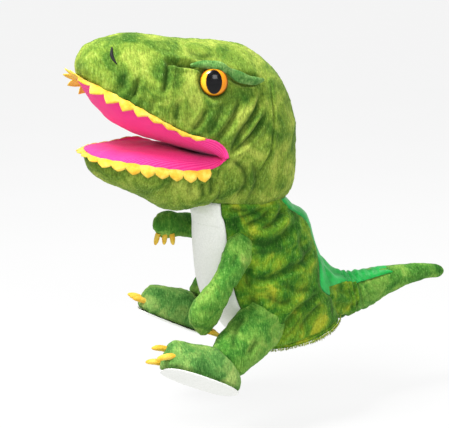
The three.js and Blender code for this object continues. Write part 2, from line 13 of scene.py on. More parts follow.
import bpy
import numpy as np
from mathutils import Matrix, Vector


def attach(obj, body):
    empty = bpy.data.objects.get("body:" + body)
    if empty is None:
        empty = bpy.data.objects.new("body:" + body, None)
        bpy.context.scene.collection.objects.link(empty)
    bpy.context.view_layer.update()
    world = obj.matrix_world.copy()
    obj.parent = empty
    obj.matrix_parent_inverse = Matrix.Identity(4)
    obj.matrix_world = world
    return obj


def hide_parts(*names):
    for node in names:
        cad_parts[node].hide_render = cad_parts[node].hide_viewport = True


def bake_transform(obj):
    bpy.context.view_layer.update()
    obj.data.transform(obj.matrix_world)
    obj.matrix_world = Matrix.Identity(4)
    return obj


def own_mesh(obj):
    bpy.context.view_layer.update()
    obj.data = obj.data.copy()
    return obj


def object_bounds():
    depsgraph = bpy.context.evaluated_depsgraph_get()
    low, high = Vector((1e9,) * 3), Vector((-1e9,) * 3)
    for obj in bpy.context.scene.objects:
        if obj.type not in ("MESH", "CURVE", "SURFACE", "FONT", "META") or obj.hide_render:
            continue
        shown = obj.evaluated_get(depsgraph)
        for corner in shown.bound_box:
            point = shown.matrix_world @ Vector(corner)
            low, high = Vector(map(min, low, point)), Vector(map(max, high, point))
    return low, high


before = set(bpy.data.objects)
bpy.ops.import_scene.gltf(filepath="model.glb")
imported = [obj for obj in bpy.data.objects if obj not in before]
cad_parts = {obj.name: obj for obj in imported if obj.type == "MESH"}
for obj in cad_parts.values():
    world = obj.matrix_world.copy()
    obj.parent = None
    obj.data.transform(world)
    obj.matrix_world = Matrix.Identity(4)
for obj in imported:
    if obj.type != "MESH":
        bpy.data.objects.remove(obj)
cad_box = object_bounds()

log = logging.getLogger("puppet")

MM = 0.001
FAR_AWAY = 1e9
Points = np.ndarray


# ------------------------------------------------------------------ small mathematics


def ease(t: Points) -> Points:
    """Smooth step: 0 below 0, 1 above 1, and 3t^2 - 2t^3 between."""
    t = np.clip(t, 0.0, 1.0)
    return t * t * (3.0 - 2.0 * t)


def curve(points: Points, at: Points) -> Points:
    """Even Catmull-Rom curve through points.

    Args:
        points: Rows of any number of columns, at least two rows.
        at: Places along the curve, counted in rows from 0.

    Returns:
        One row per place: each column is a cubic between its two nearest rows.
    """
    rows = np.asarray(points, float)
    last = len(rows) - 1
    at = np.clip(np.asarray(at, float), 0.0, last)
    i = np.clip(np.floor(at).astype(int), 0, last - 1)
    w = (at - i)[..., None]
    before, here, there, after = (rows[np.clip(i + k, 0, last)] for k in (-1, 0, 1, 2))
    leave, arrive = (there - before) / 2, (after - here) / 2
    cubic = (2 * here - 2 * there + leave + arrive) * w**3
    square = (-3 * here + 3 * there - 2 * leave - arrive) * w**2
    return cubic + square + leave * w + here


def evenly(points: Points, count: int) -> Points:
    """count points at even lengths along the Catmull-Rom curve through points."""
    fine = curve(points, np.linspace(0, len(points) - 1, 40 * len(points)))
    length = np.append(0, np.cumsum(np.linalg.norm(np.diff(fine, axis=0), axis=1)))
    at = np.linspace(0, length[-1], count)
    return np.stack([np.interp(at, length, column) for column in fine.T], axis=-1)


def lattice(cells: Points, seed: int) -> Points:
    """A fixed pseudo-random number from -1 to 1 for each whole-number cell, by integer hashing."""
    mask = 0xFFFFFFFF
    h = cells[..., 0] * 374761393 + cells[..., 1] * 668265263 + cells[..., 2] * 1274126177
    h = (h + seed * 974634777) & mask
    h = ((h ^ (h >> 13)) * 1274126177) & mask
    return ((h ^ (h >> 16)) & mask) / 2.0**31 - 1.0


def noise(points: Points, size: float, seed: int = 0) -> Points:
    """Smooth random hills about size mm wide, from -1 to 1.

    The eight lattice numbers round each point are blended by smooth steps along x, y and z.

    Args:
        points: Places in mm, one row each.
        size: Width of a hill in mm.
        seed: Number of the pattern.

    Returns:
        One value per place.
    """
    q = np.asarray(points, float) / size + 1000.0
    base = np.floor(q).astype(np.int64)
    w = ease(q - base)
    total = np.zeros(q.shape[:-1])
    for corner in np.ndindex(2, 2, 2):
        share = np.ones(q.shape[:-1])
        for axis in range(3):
            share = share * (w[..., axis] if corner[axis] else 1.0 - w[..., axis])
        total += share * lattice(base + np.array(corner), seed)
    return total


def pile(points: Points, amount: float = 1.0, seed: int = 3) -> Points:
    """Relief of short pile: tufts 6, 3 and 1.6 mm wide, in mm."""
    coarse = 0.42 * noise(points, 6.0, seed)
    tufts = 0.30 * noise(points, 3.0, seed + 1)
    fine = 0.20 * noise(points, 1.6, seed + 2)
    return amount * (coarse + tufts + fine)


# ------------------------------------------------------------------ surfaces on a grid


@dataclass
class Surface:
    """A surface as a grid of points in mm, rows by columns, with outward side and shade.

    Attributes:
        points: Array of rows x columns x 3.
        ring: The columns close on themselves.
        shade: How deep in a fold each point lies, from 0 to 1, which the materials paint as shade.
    """

    points: Points
    ring: bool = False
    shade: Points | None = None

    def __post_init__(self) -> None:
        """Starts with no shade."""
        if self.shade is None:
            self.shade = np.zeros(self.points.shape[:2])

    def normals(self) -> Points:
        """Unit normals: the cross product of the differences along rows and along columns."""
        p = self.points
        along = np.gradient(p, axis=0)
        if self.ring:
            across = (np.roll(p, -1, axis=1) - np.roll(p, 1, axis=1)) / 2
        else:
            across = np.gradient(p, axis=1)
        n = np.cross(across, along)
        return n / np.maximum(np.linalg.norm(n, axis=-1, keepdims=True), 1e-9)

    def facing(self, centre: Points) -> float:
        """1 if the normals point away from a centre on the whole, otherwise -1."""
        away = np.sum(self.normals() * (self.points - np.asarray(centre, float)))
        return 1.0 if away > 0 else -1.0

    def lifted(self, height: Points, centre: Points) -> "Surface":
        """A copy moved outwards by height (mm) along its normals, away from centre."""
        moved = self.points + self.normals() * (self.facing(centre) * height)[..., None]
        return Surface(moved, self.ring, self.shade.copy())


def quads(rows: int, columns: int, ring: bool) -> Points:
    """Corner numbers of every cell of a grid of rows x columns points."""
    index = np.arange(rows * columns).reshape(rows, columns)
    right = np.roll(index, -1, axis=1) if ring else index[:, 1:]
    left = index if ring else index[:, :-1]
    cells = np.stack([left[:-1], right[:-1], right[1:], left[1:]], axis=-1)
    return cells.reshape(-1, 4)


def new_mesh(name: str, points: Points, faces: list, shade: Points | None = None) -> bpy.types.Object:
    """Writes a mesh at the origin, in metres, with faces turned outwards and a shade per point.

    Args:
        name: The piece's name.
        points: Corner places in mm.
        faces: Lists of corner numbers.
        shade: How deep in a fold each corner lies, which the materials paint as shade.

    Returns:
        The new object, linked to the scene.
    """
    mesh = bpy.data.meshes.new(name)
    mesh.from_pydata((np.asarray(points) * MM).tolist(), [], faces)
    mesh.update(calc_edges=True)
    if shade is not None:
        values = mesh.attributes.new("shade", "FLOAT", "POINT")
        values.data.foreach_set("value", np.asarray(shade, np.float32).ravel())
    mesh.polygons.foreach_set("use_smooth", np.ones(len(mesh.polygons), bool))
    piece = bpy.data.objects.new(name, mesh)
    bpy.context.scene.collection.objects.link(piece)
    return piece


def signed_volume(points: Points, faces: list) -> float:
    """Six times the volume inside faces, negative if they point inwards: the sum of a . (b x c)."""
    total = 0.0
    for size in (3, 4):
        some = np.array([f for f in faces if len(f) == size])
        for k in range(1, size - 1):
            if len(some):
                a, b, c = points[some[:, 0]], points[some[:, k]], points[some[:, k + 1]]
                total += float(np.sum(a * np.cross(b, c)))
    return total


def closed_mesh(name: str, points: Points, faces: list, shade: Points) -> bpy.types.Object:
    """A closed mesh, with every face turned round first if its volume comes out negative."""
    if signed_volume(points, faces) < 0:
        faces = [f[::-1] for f in faces]
    return new_mesh(name, points, faces, shade)


def rim(rows: int, columns: int) -> Points:
    """Point numbers round the edge of an open grid, from one corner back to it."""
    index = np.arange(rows * columns).reshape(rows, columns)
    return np.concatenate([index[0], index[1:, -1], index[-1, -2::-1], index[-2::-1, 0]])


def backed(faces: Points, edges: list[Points], count: int) -> Points:
    """Faces of a surface and of its reversed copy, which starts at count, joined along the edges."""
    strips = [np.stack([e[1:], e[:-1], e[:-1] + count, e[1:] + count], axis=-1) for e in edges]
    return np.concatenate([faces, faces[:, ::-1] + count, *strips])


def walled(name: str, face: Surface, thickness: float, centre: Points) -> bpy.types.Object:
    """A cloth wall: the surface, a copy set in by thickness, and strips that close its edges.

    Args:
        name: The piece's name.
        face: The outer surface.
        thickness: Thickness of the wall in mm.
        centre: Place that the wall grows towards.

    Returns:
        The closed piece.
    """
    inner = face.lifted(np.full(face.points.shape[:2], -thickness), centre)
    rows, columns = face.points.shape[:2]
    count = rows * columns
    edges = [rim(rows, columns)]
    if face.ring:
        index = np.arange(count).reshape(rows, columns)
        edges = [np.append(index[0], index[0, 0]), np.append(index[-1], index[-1, 0])[::-1]]
    faces = backed(quads(rows, columns, face.ring), edges, count)
    points = np.concatenate([face.points.reshape(-1, 3), inner.points.reshape(-1, 3)])
    shade = np.concatenate([face.shade.ravel(), face.shade.ravel()])
    return closed_mesh(name, points, faces.tolist(), shade)


def stuffed(name: str, rings: Surface) -> bpy.types.Object:
    """A closed stuffed form: rings of points, with a fan of triangles to a pole at both ends."""
    rows, columns = rings.points.shape[:2]
    poles = np.stack([rings.points[0].mean(axis=0), rings.points[-1].mean(axis=0)])
    faces = quads(rows, columns, True).tolist()
    first, last = rows * columns, rows * columns + 1
    for k in range(columns):
        after = (k + 1) % columns
        faces.append([first, after, k])
        faces.append([last, (rows - 1) * columns + k, (rows - 1) * columns + after])
    points = np.concatenate([rings.points.reshape(-1, 3), poles])
    shade = np.concatenate([rings.shade.ravel(), [rings.shade[0].mean(), rings.shade[-1].mean()]])
    return closed_mesh(name, points, faces, shade)


def tube_rings(path: Points, half_sizes: Points, around: int, side: Points = (1, 0, 0)) -> Surface:
    """Rings carried along a path.

    Each ring is an ellipse across the path: one half size along the sideways direction and one
    along its cross product with the path's own direction.

    Args:
        path: Ring centres in mm.
        half_sizes: Two half sizes per ring.
        around: Points per ring.
        side: Rough sideways direction.

    Returns:
        The rings as a surface.
    """
    ahead = np.gradient(path, axis=0)
    ahead /= np.linalg.norm(ahead, axis=1, keepdims=True)
    across = np.asarray(side, float) - ahead * (ahead @ np.asarray(side, float))[:, None]
    across /= np.linalg.norm(across, axis=1, keepdims=True)
    over = np.cross(across, ahead)
    a = np.linspace(0, 2 * np.pi, around, endpoint=False)
    round_side = across[:, None] * (half_sizes[:, :1] * np.cos(a))[..., None]
    round_over = over[:, None] * (half_sizes[:, 1:] * np.sin(a))[..., None]
    return Surface(path[:, None] + round_side + round_over, ring=True)


@dataclass(frozen=True)
class Fold:
    """A crease in cloth along a line seen from the side.

    Attributes:
        line: Places (y, z) in mm that the crease passes.
        depth: How deep it is, in mm.
        width: Half its width, in mm.
    """

    line: tuple[tuple[float, float], ...]
    depth: float
    width: float


def creases(points: Points, folds: tuple[Fold, ...], columns: tuple[int, int] = (1, 2)) -> tuple[Points, Points]:
    """Relief of a set of folds.

    For each point the nearest place on a fold's line gives its distance d. The crease is a bell
    of that distance, with two soft ridges beside it, and it fades out over the line's last quarters.

    Args:
        points: Places in mm.
        folds: The folds.
        columns: The two coordinates in which the lines are given.

    Returns:
        Height in mm (below 0 in a crease) and shade from 0 to 1.
    """
    flat = points[..., list(columns)]
    height = np.zeros(flat.shape[:-1])
    shade = np.zeros(flat.shape[:-1])
    for fold in folds:
        line = evenly(np.array(fold.line, float), 14)
        nearest = np.full(height.shape, FAR_AWAY)
        place = np.zeros(height.shape)
        for k in range(len(line) - 1):
            step = line[k + 1] - line[k]
            t = np.clip(((flat - line[k]) @ step) / (step @ step), 0, 1)
            d = np.linalg.norm(flat - line[k] - t[..., None] * step, axis=-1)
            closer = d < nearest
            place = np.where(closer, (k + t) / (len(line) - 1), place)
            nearest = np.minimum(nearest, d)
        fade = ease(place / 0.25 + 0.35) * ease((1 - place) / 0.25 + 0.35)
        bell = np.exp(-((nearest / fold.width) ** 1.35))
        ridge = np.exp(-(((nearest - 1.9 * fold.width) / fold.width) ** 2))
        height += fade * fold.depth * (0.38 * ridge - bell)
        shade = np.maximum(shade, fade * bell**1.6 * min(1.0, fold.depth / 2.2))
    return height, shade


# ------------------------------------------------------------------ finishes


class Slot(Enum):
    """The record's material slots."""

    PLUSH = "plush_green"
    DARK = "plush_dark"
    SATIN = "satin_green"
    BELLY = "belly_white"
    MOUTH = "mouth_pink"
    FELT = "felt_yellow"
    EYE = "eye_amber"
    THREAD = "thread_black"
    FOAM = "foam_white"
    BOARD = "mouth_board"
    WASHER = "washer_plastic"
    TAPE = "seam_tape"


def linear(code: str) -> tuple[float, float, float, float]:
    """A colour written as six hexadecimal digits, as linear light with full alpha."""
    parts = [int(code[k : k + 2], 16) / 255 for k in (0, 2, 4)]
    light = [c / 12.92 if c <= 0.04045 else ((c + 0.055) / 1.055) ** 2.4 for c in parts]
    return (*light, 1.0)


Socket = bpy.types.NodeSocket
Input = Socket | float | tuple[float, ...]


class Recipe:
    """One material in the making: it adds shader nodes and wires them."""

    def __init__(self, name: str) -> None:
        """Starts a material with a principled shader."""
        self.material = bpy.data.materials.new(name)
        self.material.use_nodes = True
        self.tree = self.material.node_tree
        self.shader = self.tree.nodes["Principled BSDF"]
        self.place = self.tree.nodes.new("ShaderNodeTexCoord").outputs["Object"]

    def node(self, kind: str, **settings: object) -> bpy.types.Node:
        """Adds a node; settings are its own properties."""
        made = self.tree.nodes.new(kind)
        for key, value in settings.items():
            setattr(made, key, value)
        return made

    def wire(self, source: Socket, target: Socket) -> None:
        """Joins two sockets."""
        self.tree.links.new(source, target)

    def surface(self, **values: object) -> None:
        """Sets the shader's own sockets; underscores in a name stand for spaces."""
        for key, value in values.items():
            self.shader.inputs[key.replace("_", " ")].default_value = value

    def stretched(self, scale: tuple[float, float, float], turn: tuple[float, float, float]) -> Socket:
        """Object coordinates, turned and then scaled."""
        mapping = self.node("ShaderNodeMapping")
        mapping.inputs["Rotation"].default_value = turn
        mapping.inputs["Scale"].default_value = scale
        self.wire(self.place, mapping.inputs["Vector"])
        return mapping.outputs[0]

    def noise(
        self, size: float, detail: float = 3, rough: float = 0.55, bend: float = 0, place: Socket | None = None
    ) -> Socket:
        """Noise with features about size mm wide."""
        made = self.node("ShaderNodeTexNoise")
        made.inputs["Scale"].default_value = 1 / (size * MM)
        made.inputs["Detail"].default_value = detail
        made.inputs["Roughness"].default_value = rough
        made.inputs["Distortion"].default_value = bend
        self.wire(place or self.place, made.inputs["Vector"])
        return made.outputs[0]

    def ramp(self, source: Socket, stops: tuple[tuple[float, str], ...]) -> Socket:
        """A colour ramp from stops of place and colour code."""
        made = self.node("ShaderNodeValToRGB")
        ramp = made.color_ramp
        while len(ramp.elements) < len(stops):
            ramp.elements.new(0.5)
        for element, (at, code) in zip(ramp.elements, stops):
            element.position = at
            element.color = linear(code)
        self.wire(source, made.inputs[0])
        return made.outputs[0]

    def mix(self, factor: Input, a: Input, b: Input, how: str = "MIX") -> Socket:
        """Mixes two colours; each may be a socket or a colour, and factor a socket or a number."""
        made = self.node("ShaderNodeMix", data_type="RGBA", blend_type=how)
        for socket, value in ((made.inputs[0], factor), (made.inputs[6], a), (made.inputs[7], b)):
            if isinstance(value, Socket):
                self.wire(value, socket)
            else:
                socket.default_value = value
        return made.outputs[2]

    def math(self, how: str, a: Input, b: Input = 0.0) -> Socket:
        """One arithmetic step on sockets or numbers."""
        made = self.node("ShaderNodeMath", operation=how)
        for socket, value in zip(made.inputs, (a, b)):
            if isinstance(value, Socket):
                self.wire(value, socket)
            else:
                socket.default_value = value
        return made.outputs[0]

    def span(self, source: Socket, low: float, high: float, to_low: float = 0.0, to_high: float = 1.0) -> Socket:
        """Rescales a value from one range to another, held at the ends."""
        made = self.node("ShaderNodeMapRange")
        for socket, value in zip(made.inputs[1:5], (low, high, to_low, to_high)):
            socket.default_value = value
        self.wire(source, made.inputs[0])
        return made.outputs[0]

    def attribute(self, name: str) -> Socket:
        """The value of a mesh attribute."""
        return self.node("ShaderNodeAttribute", attribute_name=name).outputs["Fac"]

    def relief(self, height: Socket, strength: float, depth: float) -> None:
        """Drives the shader's normal from a height; depth in mm."""
        made = self.node("ShaderNodeBump")
        made.inputs["Strength"].default_value = strength
        made.inputs["Distance"].default_value = depth * MM
        self.wire(height, made.inputs["Height"])
        self.wire(made.outputs[0], self.shader.inputs["Normal"])

    def colour(self, source: Socket) -> bpy.types.Material:
        """Gives the shader its colour and returns the finished material."""
        self.wire(source, self.shader.inputs["Base Color"])
        return self.material


class Finish(ABC):
    """A cloth, plastic or thread that a piece is made of."""

    slot: Slot
    made: dict = {}

    @abstractmethod
    def mixed(self) -> bpy.types.Material:
        """Makes the material."""

    def material(self) -> bpy.types.Material:
        """The material, made once."""
        if self not in Finish.made:
            Finish.made[self] = self.mixed()
        return Finish.made[self]


@dataclass(frozen=True)
class Plush(Finish):
    """Short-pile plush, dyed in soft patches, with a brushed nap.

    Attributes:
        name: Material name.
        stops: Places and colours of the dye, from dark to light.
        patch: Width of the dye patches in mm.
        nap: Turn of the brushed nap, as rotation angles.
    """

    name: str
    stops: tuple[tuple[float, str], ...]
    patch: float = 24.0
    nap: tuple[float, float, float] = (0.7, 0.2, 0.1)
    slot: Slot = Slot.PLUSH
    # colour of the painted shade in creases
    crease: str = "1C4010"
    # tint of the shader's sheen, also painted into the colour as sheen
    sheen: str = "DDF09A"

    def mixed(self) -> bpy.types.Material:
        """Dye patches, painted shade in folds and seams, painted sheen on the tuft tips, streaks of nap and fine tufts
        that also shape the relief.
        """
        r = Recipe(self.name)
        dye = r.ramp(r.noise(self.patch, 5, 0.6, 0.5), self.stops)
        streaks = r.noise(1.0, 3, 0.6, 0.3, r.stretched((0.35, 0.9, 0.22), self.nap))
        tufts = r.noise(1.5, 4, 0.7)
        grain = r.math("ADD", r.math("MULTIPLY", streaks, 0.6), r.math("MULTIPLY", tufts, 0.4))
        light = r.ramp(grain, ((0.36, "9A9A9A"), (0.5, "E2E2E2"), (0.64, "FFFFFF")))
        napped = r.mix(0.85, dye, light, "MULTIPLY")
        # painted sheen: the sheen colour mixed onto the highest tufts of the grain
        tips = r.mix(r.span(grain, 0.54, 0.72, 0, 0.24), napped, linear(self.sheen))
        # painted shade: the shade attribute darkens creases, seams and hollows towards the crease colour
        with_painted_shade = r.mix(r.span(r.attribute("shade"), 0.0, 1.0, 0, 0.72), tips, linear(self.crease))
        r.surface(Roughness=0.92, Specular_IOR_Level=0.15, Sheen_Weight=0.16, Sheen_Roughness=0.4)
        r.surface(Sheen_Tint=linear(self.sheen))
        r.relief(grain, 0.75, 1.1)
        return r.colour(with_painted_shade)


@dataclass(frozen=True)
class Satin(Finish):
    """Bright satin with fine yarn lines and soft cloudy shine."""

    slot: Slot = Slot.SATIN

    def mixed(self) -> bpy.types.Material:
        """Yarn lines about 0.5 mm apart over a green that drifts slowly, with painted shade in the folds."""
        r = Recipe("satin_green_cloth")
        yarn = r.noise(1.0, 2, 0.5, 0, r.stretched((2.2, 0.25, 0.25), (0, 0, 0)))
        drift = r.ramp(r.noise(16, 3), ((0.3, "069A3A"), (0.5, "0DAF43"), (0.7, "22C658")))
        lined = r.mix(0.35, drift, r.ramp(yarn, ((0.35, "9A9A9A"), (0.6, "FFFFFF"))), "MULTIPLY")
        # painted shade: the shade attribute darkens folds and seams towards a deeper green
        with_painted_shade = r.mix(r.span(r.attribute("shade"), 0, 1, 0, 0.55), lined, linear("057A35"))
        r.surface(Roughness=0.42, Specular_IOR_Level=0.4, Sheen_Weight=0.15, Sheen_Roughness=0.3)
        r.surface(Sheen_Tint=linear("A8FFC4"))
        r.relief(yarn, 0.35, 0.3)
        return r.colour(with_painted_shade)


@dataclass(frozen=True)
class Knit(Finish):
    """Knitted lining: rows of fine ribs crossed by stitches."""

    slot: Slot = Slot.MOUTH

    def mixed(self) -> bpy.types.Material:
        """Two crossed waves 1.1 and 0.9 mm apart make the knit; noise makes it uneven. Painted shade darkens it deep
        in the mouth's crease.
        """
        r = Recipe("mouth_knit")
        parts = r.node("ShaderNodeSeparateXYZ")
        r.wire(r.place, parts.inputs[0])
        rib = r.math("SINE", r.math("MULTIPLY", parts.outputs["X"], 2 * math.pi / (1.1 * MM)))
        row = r.math("SINE", r.math("MULTIPLY", parts.outputs["Y"], 2 * math.pi / (0.9 * MM)))
        knit = r.math("ADD", r.math("MULTIPLY", rib, 0.5), r.math("MULTIPLY", row, 0.35))
        fuzzy = r.math("ADD", knit, r.math("MULTIPLY", r.noise(1.2, 4, 0.7), 1.6))
        tone = r.ramp(r.span(fuzzy, -0.2, 1.8), ((0.0, "D61C74"), (0.45, "F2358B"), (1.0, "FF5CA6")))
        drift = r.mix(r.span(r.noise(22, 2), 0.35, 0.65, 0, 0.22), tone, linear("E8247C"))
        # painted shade: the shade attribute darkens the lining deep in the mouth's crease
        with_painted_shade = r.mix(r.span(r.attribute("shade"), 0, 1, 0, 0.85), drift, linear("5C0A33"))
        r.surface(Roughness=0.8, Specular_IOR_Level=0.25, Sheen_Weight=0.3, Sheen_Roughness=0.4)
        r.surface(Sheen_Tint=linear("FFB0D5"))
        r.relief(fuzzy, 0.3, 0.25)
        return r.colour(with_painted_shade)


@dataclass(frozen=True)
class Felt(Finish):
    """Pressed felt: short tangled fibres and a slightly darker drift."""

    slot: Slot = Slot.FELT

    def mixed(self) -> bpy.types.Material:
        """Tangled fibres 0.4 to 3 mm long in yellow."""
        r = Recipe("tooth_felt")
        fibres = r.noise(0.9, 6, 0.75, 1.5)
        drift = r.ramp(r.noise(7, 3), ((0.3, "E3AC2C"), (0.5, "EEC443"), (0.7, "F4D766")))
        tangled = r.mix(0.5, drift, r.ramp(fibres, ((0.3, "B9A27A"), (0.6, "FFFFFF"))), "MULTIPLY")
        r.surface(Roughness=0.88, Specular_IOR_Level=0.2, Sheen_Weight=0.3, Sheen_Roughness=0.5)
        r.surface(Sheen_Tint=linear("FFF0B0"))
        r.relief(fibres, 0.5, 0.5)
        return r.colour(tangled)


@dataclass(frozen=True)
class Eyeball(Finish):
    """Moulded safety eye: amber, with an upright oval pupil and a dark rim under a clear gloss."""

    slot: Slot = Slot.EYE

    def mixed(self) -> bpy.types.Material:
        """The disc's own map runs from -1 to 1 both ways; ovals in it bound the pupil and the rim."""
        r = Recipe("amber_eye")
        parts = r.node("ShaderNodeSeparateXYZ")
        r.wire(r.node("ShaderNodeUVMap", uv_map="disc").outputs[0], parts.inputs[0])
        across = r.span(parts.outputs["X"], 0, 1, -1, 1)
        up = r.span(parts.outputs["Y"], 0, 1, -1, 1)

        def oval(wide: float, high: float) -> Socket:
            """Distance from the centre in half sizes of an oval."""
            x, y = r.math("DIVIDE", across, wide), r.math("DIVIDE", up, high)
            return r.math("SQRT", r.math("ADD", r.math("MULTIPLY", x, x), r.math("MULTIPLY", y, y)))

        slant = r.math("ADD", r.math("MULTIPLY", across, 0.5), r.math("MULTIPLY", r.noise(1.5, 3), 0.5))
        iris = r.ramp(r.span(slant, -0.4, 0.75), ((0.0, "D9760F"), (0.5, "F3A017"), (1.0, "FFC22E")))
        rimmed = r.mix(r.span(oval(1, 1), 0.86, 0.97), iris, linear("8A430A"))
        edged = r.mix(r.span(oval(0.56, 0.84), 1.06, 1.0), rimmed, linear("5A2C08"))
        pupil = r.mix(r.span(oval(0.56, 0.84), 1.0, 0.96), edged, linear("020204"))
        r.surface(Roughness=0.25, Specular_IOR_Level=0.12, Coat_Weight=0.3, Coat_Roughness=0.04)
        return r.colour(pupil)


@dataclass(frozen=True)
class Cloth(Finish):
    """A plain woven, moulded or foamed material with fine grain.

    Attributes:
        name: Material name.
        slot: The record's slot.
        dark: Colour in the grain, and of the painted shade in folds.
        light: Colour on top.
        grain: Grain width in mm.
        rough: Roughness.
        fuzz: Sheen weight.
    """

    name: str
    slot: Slot
    dark: str
    light: str
    grain: float = 1.2
    rough: float = 0.85
    fuzz: float = 0.2

    def mixed(self) -> bpy.types.Material:
        """Fine grain between two colours over a slow drift, with painted shade in the folds."""
        r = Recipe(self.name)
        grain = r.noise(self.grain, 5, 0.65, 0.4)
        tone = r.ramp(grain, ((0.3, self.dark), (0.62, self.light)))
        drift = r.mix(r.span(r.noise(20, 2), 0.4, 0.7, 0, 0.3), tone, linear(self.dark))
        # painted shade: the shade attribute darkens folds and seams towards the dark colour
        with_painted_shade = r.mix(r.span(r.attribute("shade"), 0, 1, 0, 0.4), drift, linear(self.dark))
        r.surface(Roughness=self.rough, Specular_IOR_Level=0.3, Sheen_Weight=self.fuzz)
        r.relief(grain, 0.45, 0.5)
        return r.colour(with_painted_shade)


HEAD_DYE = ((0.30, "3B6A1C"), (0.41, "587F26"), (0.52, "82A036"), (0.66, "B2C351"))
BODY_DYE = ((0.33, "1F5212"), (0.44, "3F801F"), (0.55, "72A024"), (0.68, "B4BE30"))
LIMB_DYE = ((0.30, "2B6A20"), (0.44, "4F9232"), (0.56, "7BB045"), (0.72, "B0CC62"))
FOOT_DYE = ((0.30, "3C7A32"), (0.44, "5E9A46"), (0.56, "88B458"), (0.72, "B4CC70"))
BROW_DYE = ((0.30, "3E7A34"), (0.44, "588F42"), (0.56, "76A656"), (0.72, "98BC70"))

HEAD_PLUSH = Plush("head_plush", HEAD_DYE, patch=27)
BODY_PLUSH = Plush("body_plush", BODY_DYE, patch=26, nap=(-0.4, 0.3, 0.2))
LIMB_PLUSH = Plush("limb_plush", LIMB_DYE, patch=20, nap=(0.2, 0.5, 0.4))
FOOT_PLUSH = Plush("foot_plush", FOOT_DYE, patch=18, nap=(1.2, 0.1, 0.3))
BROW_PLUSH = Plush("brow_plush", BROW_DYE, patch=14, nap=(1.4, 0.2, 0), slot=Slot.DARK)
NECK_PLUSH = Plush("neck_plush", BODY_DYE, patch=18, slot=Slot.DARK)
SATIN = Satin()
KNIT = Knit()
FELT = Felt()
EYEBALL = Eyeball()
BELLY = Cloth("belly_fleece", Slot.BELLY, "E6E8E2", "F4F5F1", 1.6, 0.85, 0.1)
THREAD = Cloth("black_thread", Slot.THREAD, "010101", "0A0A0A", 0.5, 0.6, 0.0)
FOAM = Cloth("soft_foam", Slot.FOAM, "D8D2BE", "F4F1E4", 0.9, 0.95, 0.1)
BOARD = Cloth("mouth_board", Slot.BOARD, "A58A5C", "CDB588", 0.7, 0.7, 0.0)
WASHER = Cloth("washer_plastic", Slot.WASHER, "C9C9C4", "E2E2DD", 0.3, 0.5, 0.0)
TAPE = Cloth("seam_tape", Slot.TAPE, "1F4A14", "37702A", 0.6, 0.85, 0.1)


def dress(piece: bpy.types.Object, finish: Finish) -> bpy.types.Object:
    """Gives a piece its material and names the record's slot."""
    piece.data.materials.clear()
    piece.data.materials.append(finish.material())
    log.info("%s: %d faces, %s", piece.name, len(piece.data.polygons), finish.slot.value)
    return piece


def ride(piece: bpy.types.Object, body: str, *nodes: str) -> bpy.types.Object:
    """Rides a piece on a body and lets it stand for CAD nodes."""
    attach(piece, body)
    if nodes:
        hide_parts(*nodes)
    return piece


def metres(point: Points) -> tuple[float, float, float]:
    """A point in mm as a tuple in metres."""
    return tuple(float(c) * MM for c in point)


# ------------------------------------------------------------------ cloth simulation


PLUSH_CLOTH = {
    "quality": 5,
    "mass": 0.2,
    "tension_stiffness": 20,
    "compression_stiffness": 20,
    "shear_stiffness": 8,
    "bending_stiffness": 0.4,
    "use_pressure": True,
}


@dataclass(frozen=True)
class Stuffing:
    """How a stuffed piece is blown up as cloth.

    Attributes:
        voxel: Size of the even remesh, in mm.
        pressure: Pressure inside.
        slack: Share by which the cloth is cut larger than its form, which wrinkles it.
        cap: Most that a point may move, in mm.
        frames: Simulated frames.
    """

    voxel: float = 4.0
    pressure: float = 4.0
    slack: float = 0.06
    cap: float = 5.0
    frames: int = 20

    def blow(self, piece: bpy.types.Object, held: tuple[Points, float] | None = None) -> None:
        """Remeshes a piece evenly, simulates it as pressed cloth and keeps the result.

        Args:
            piece: The stuffed form.
            held: A point in mm and a radius: cloth inside it is sewn down and stays.
        """
        remesh = piece.modifiers.new("even", "REMESH")
        remesh.mode = "VOXEL"
        remesh.voxel_size = self.voxel * MM
        self.bake(piece)
        start = coordinates(piece)
        cloth = piece.modifiers.new("cloth", "CLOTH")
        settings = cloth.settings
        for key, value in PLUSH_CLOTH.items():
            setattr(settings, key, value)
        settings.uniform_pressure_force = self.pressure
        settings.shrink_min = settings.shrink_max = -self.slack
        settings.effector_weights.gravity = 0
        cloth.collision_settings.use_collision = False
        cloth.collision_settings.use_self_collision = False
        cloth.point_cache.frame_end = self.frames
        if held is not None:
            group = piece.vertex_groups.new(name="sewn")
            near = np.linalg.norm(start - held[0], axis=1) < held[1]
            group.add(np.flatnonzero(near).tolist(), 1.0, "REPLACE")
            settings.vertex_group_mass = "sewn"
        for step in range(1, self.frames + 1):
            bpy.context.scene.frame_set(step)
        self.bake(piece)
        bpy.context.scene.frame_set(1)
        move = coordinates(piece) - start
        far = np.linalg.norm(move, axis=1, keepdims=True)
        place(piece, start + move * np.minimum(1.0, self.cap / np.maximum(far, 1e-9)))
        smooth = piece.modifiers.new("smooth", "SUBSURF")
        smooth.levels = 1
        smooth.render_levels = 1
        self.bake(piece)

    @staticmethod
    def bake(piece: bpy.types.Object) -> None:
        """Replaces the mesh by what its modifiers make of it."""
        depsgraph = bpy.context.evaluated_depsgraph_get()
        made = bpy.data.meshes.new_from_object(piece.evaluated_get(depsgraph))
        piece.modifiers.clear()
        piece.data = made
        made.polygons.foreach_set("use_smooth", np.ones(len(made.polygons), bool))


def coordinates(piece: bpy.types.Object) -> Points:
    """A mesh's corners in mm."""
    flat = np.zeros(3 * len(piece.data.vertices), np.float32)
    piece.data.vertices.foreach_get("co", flat)
    return flat.reshape(-1, 3).astype(float) / MM


def place(piece: bpy.types.Object, points: Points) -> None:
    """Moves a mesh's corners to places in mm."""
    piece.data.vertices.foreach_set("co", (points * MM).astype(np.float32).ravel())
    piece.data.update()


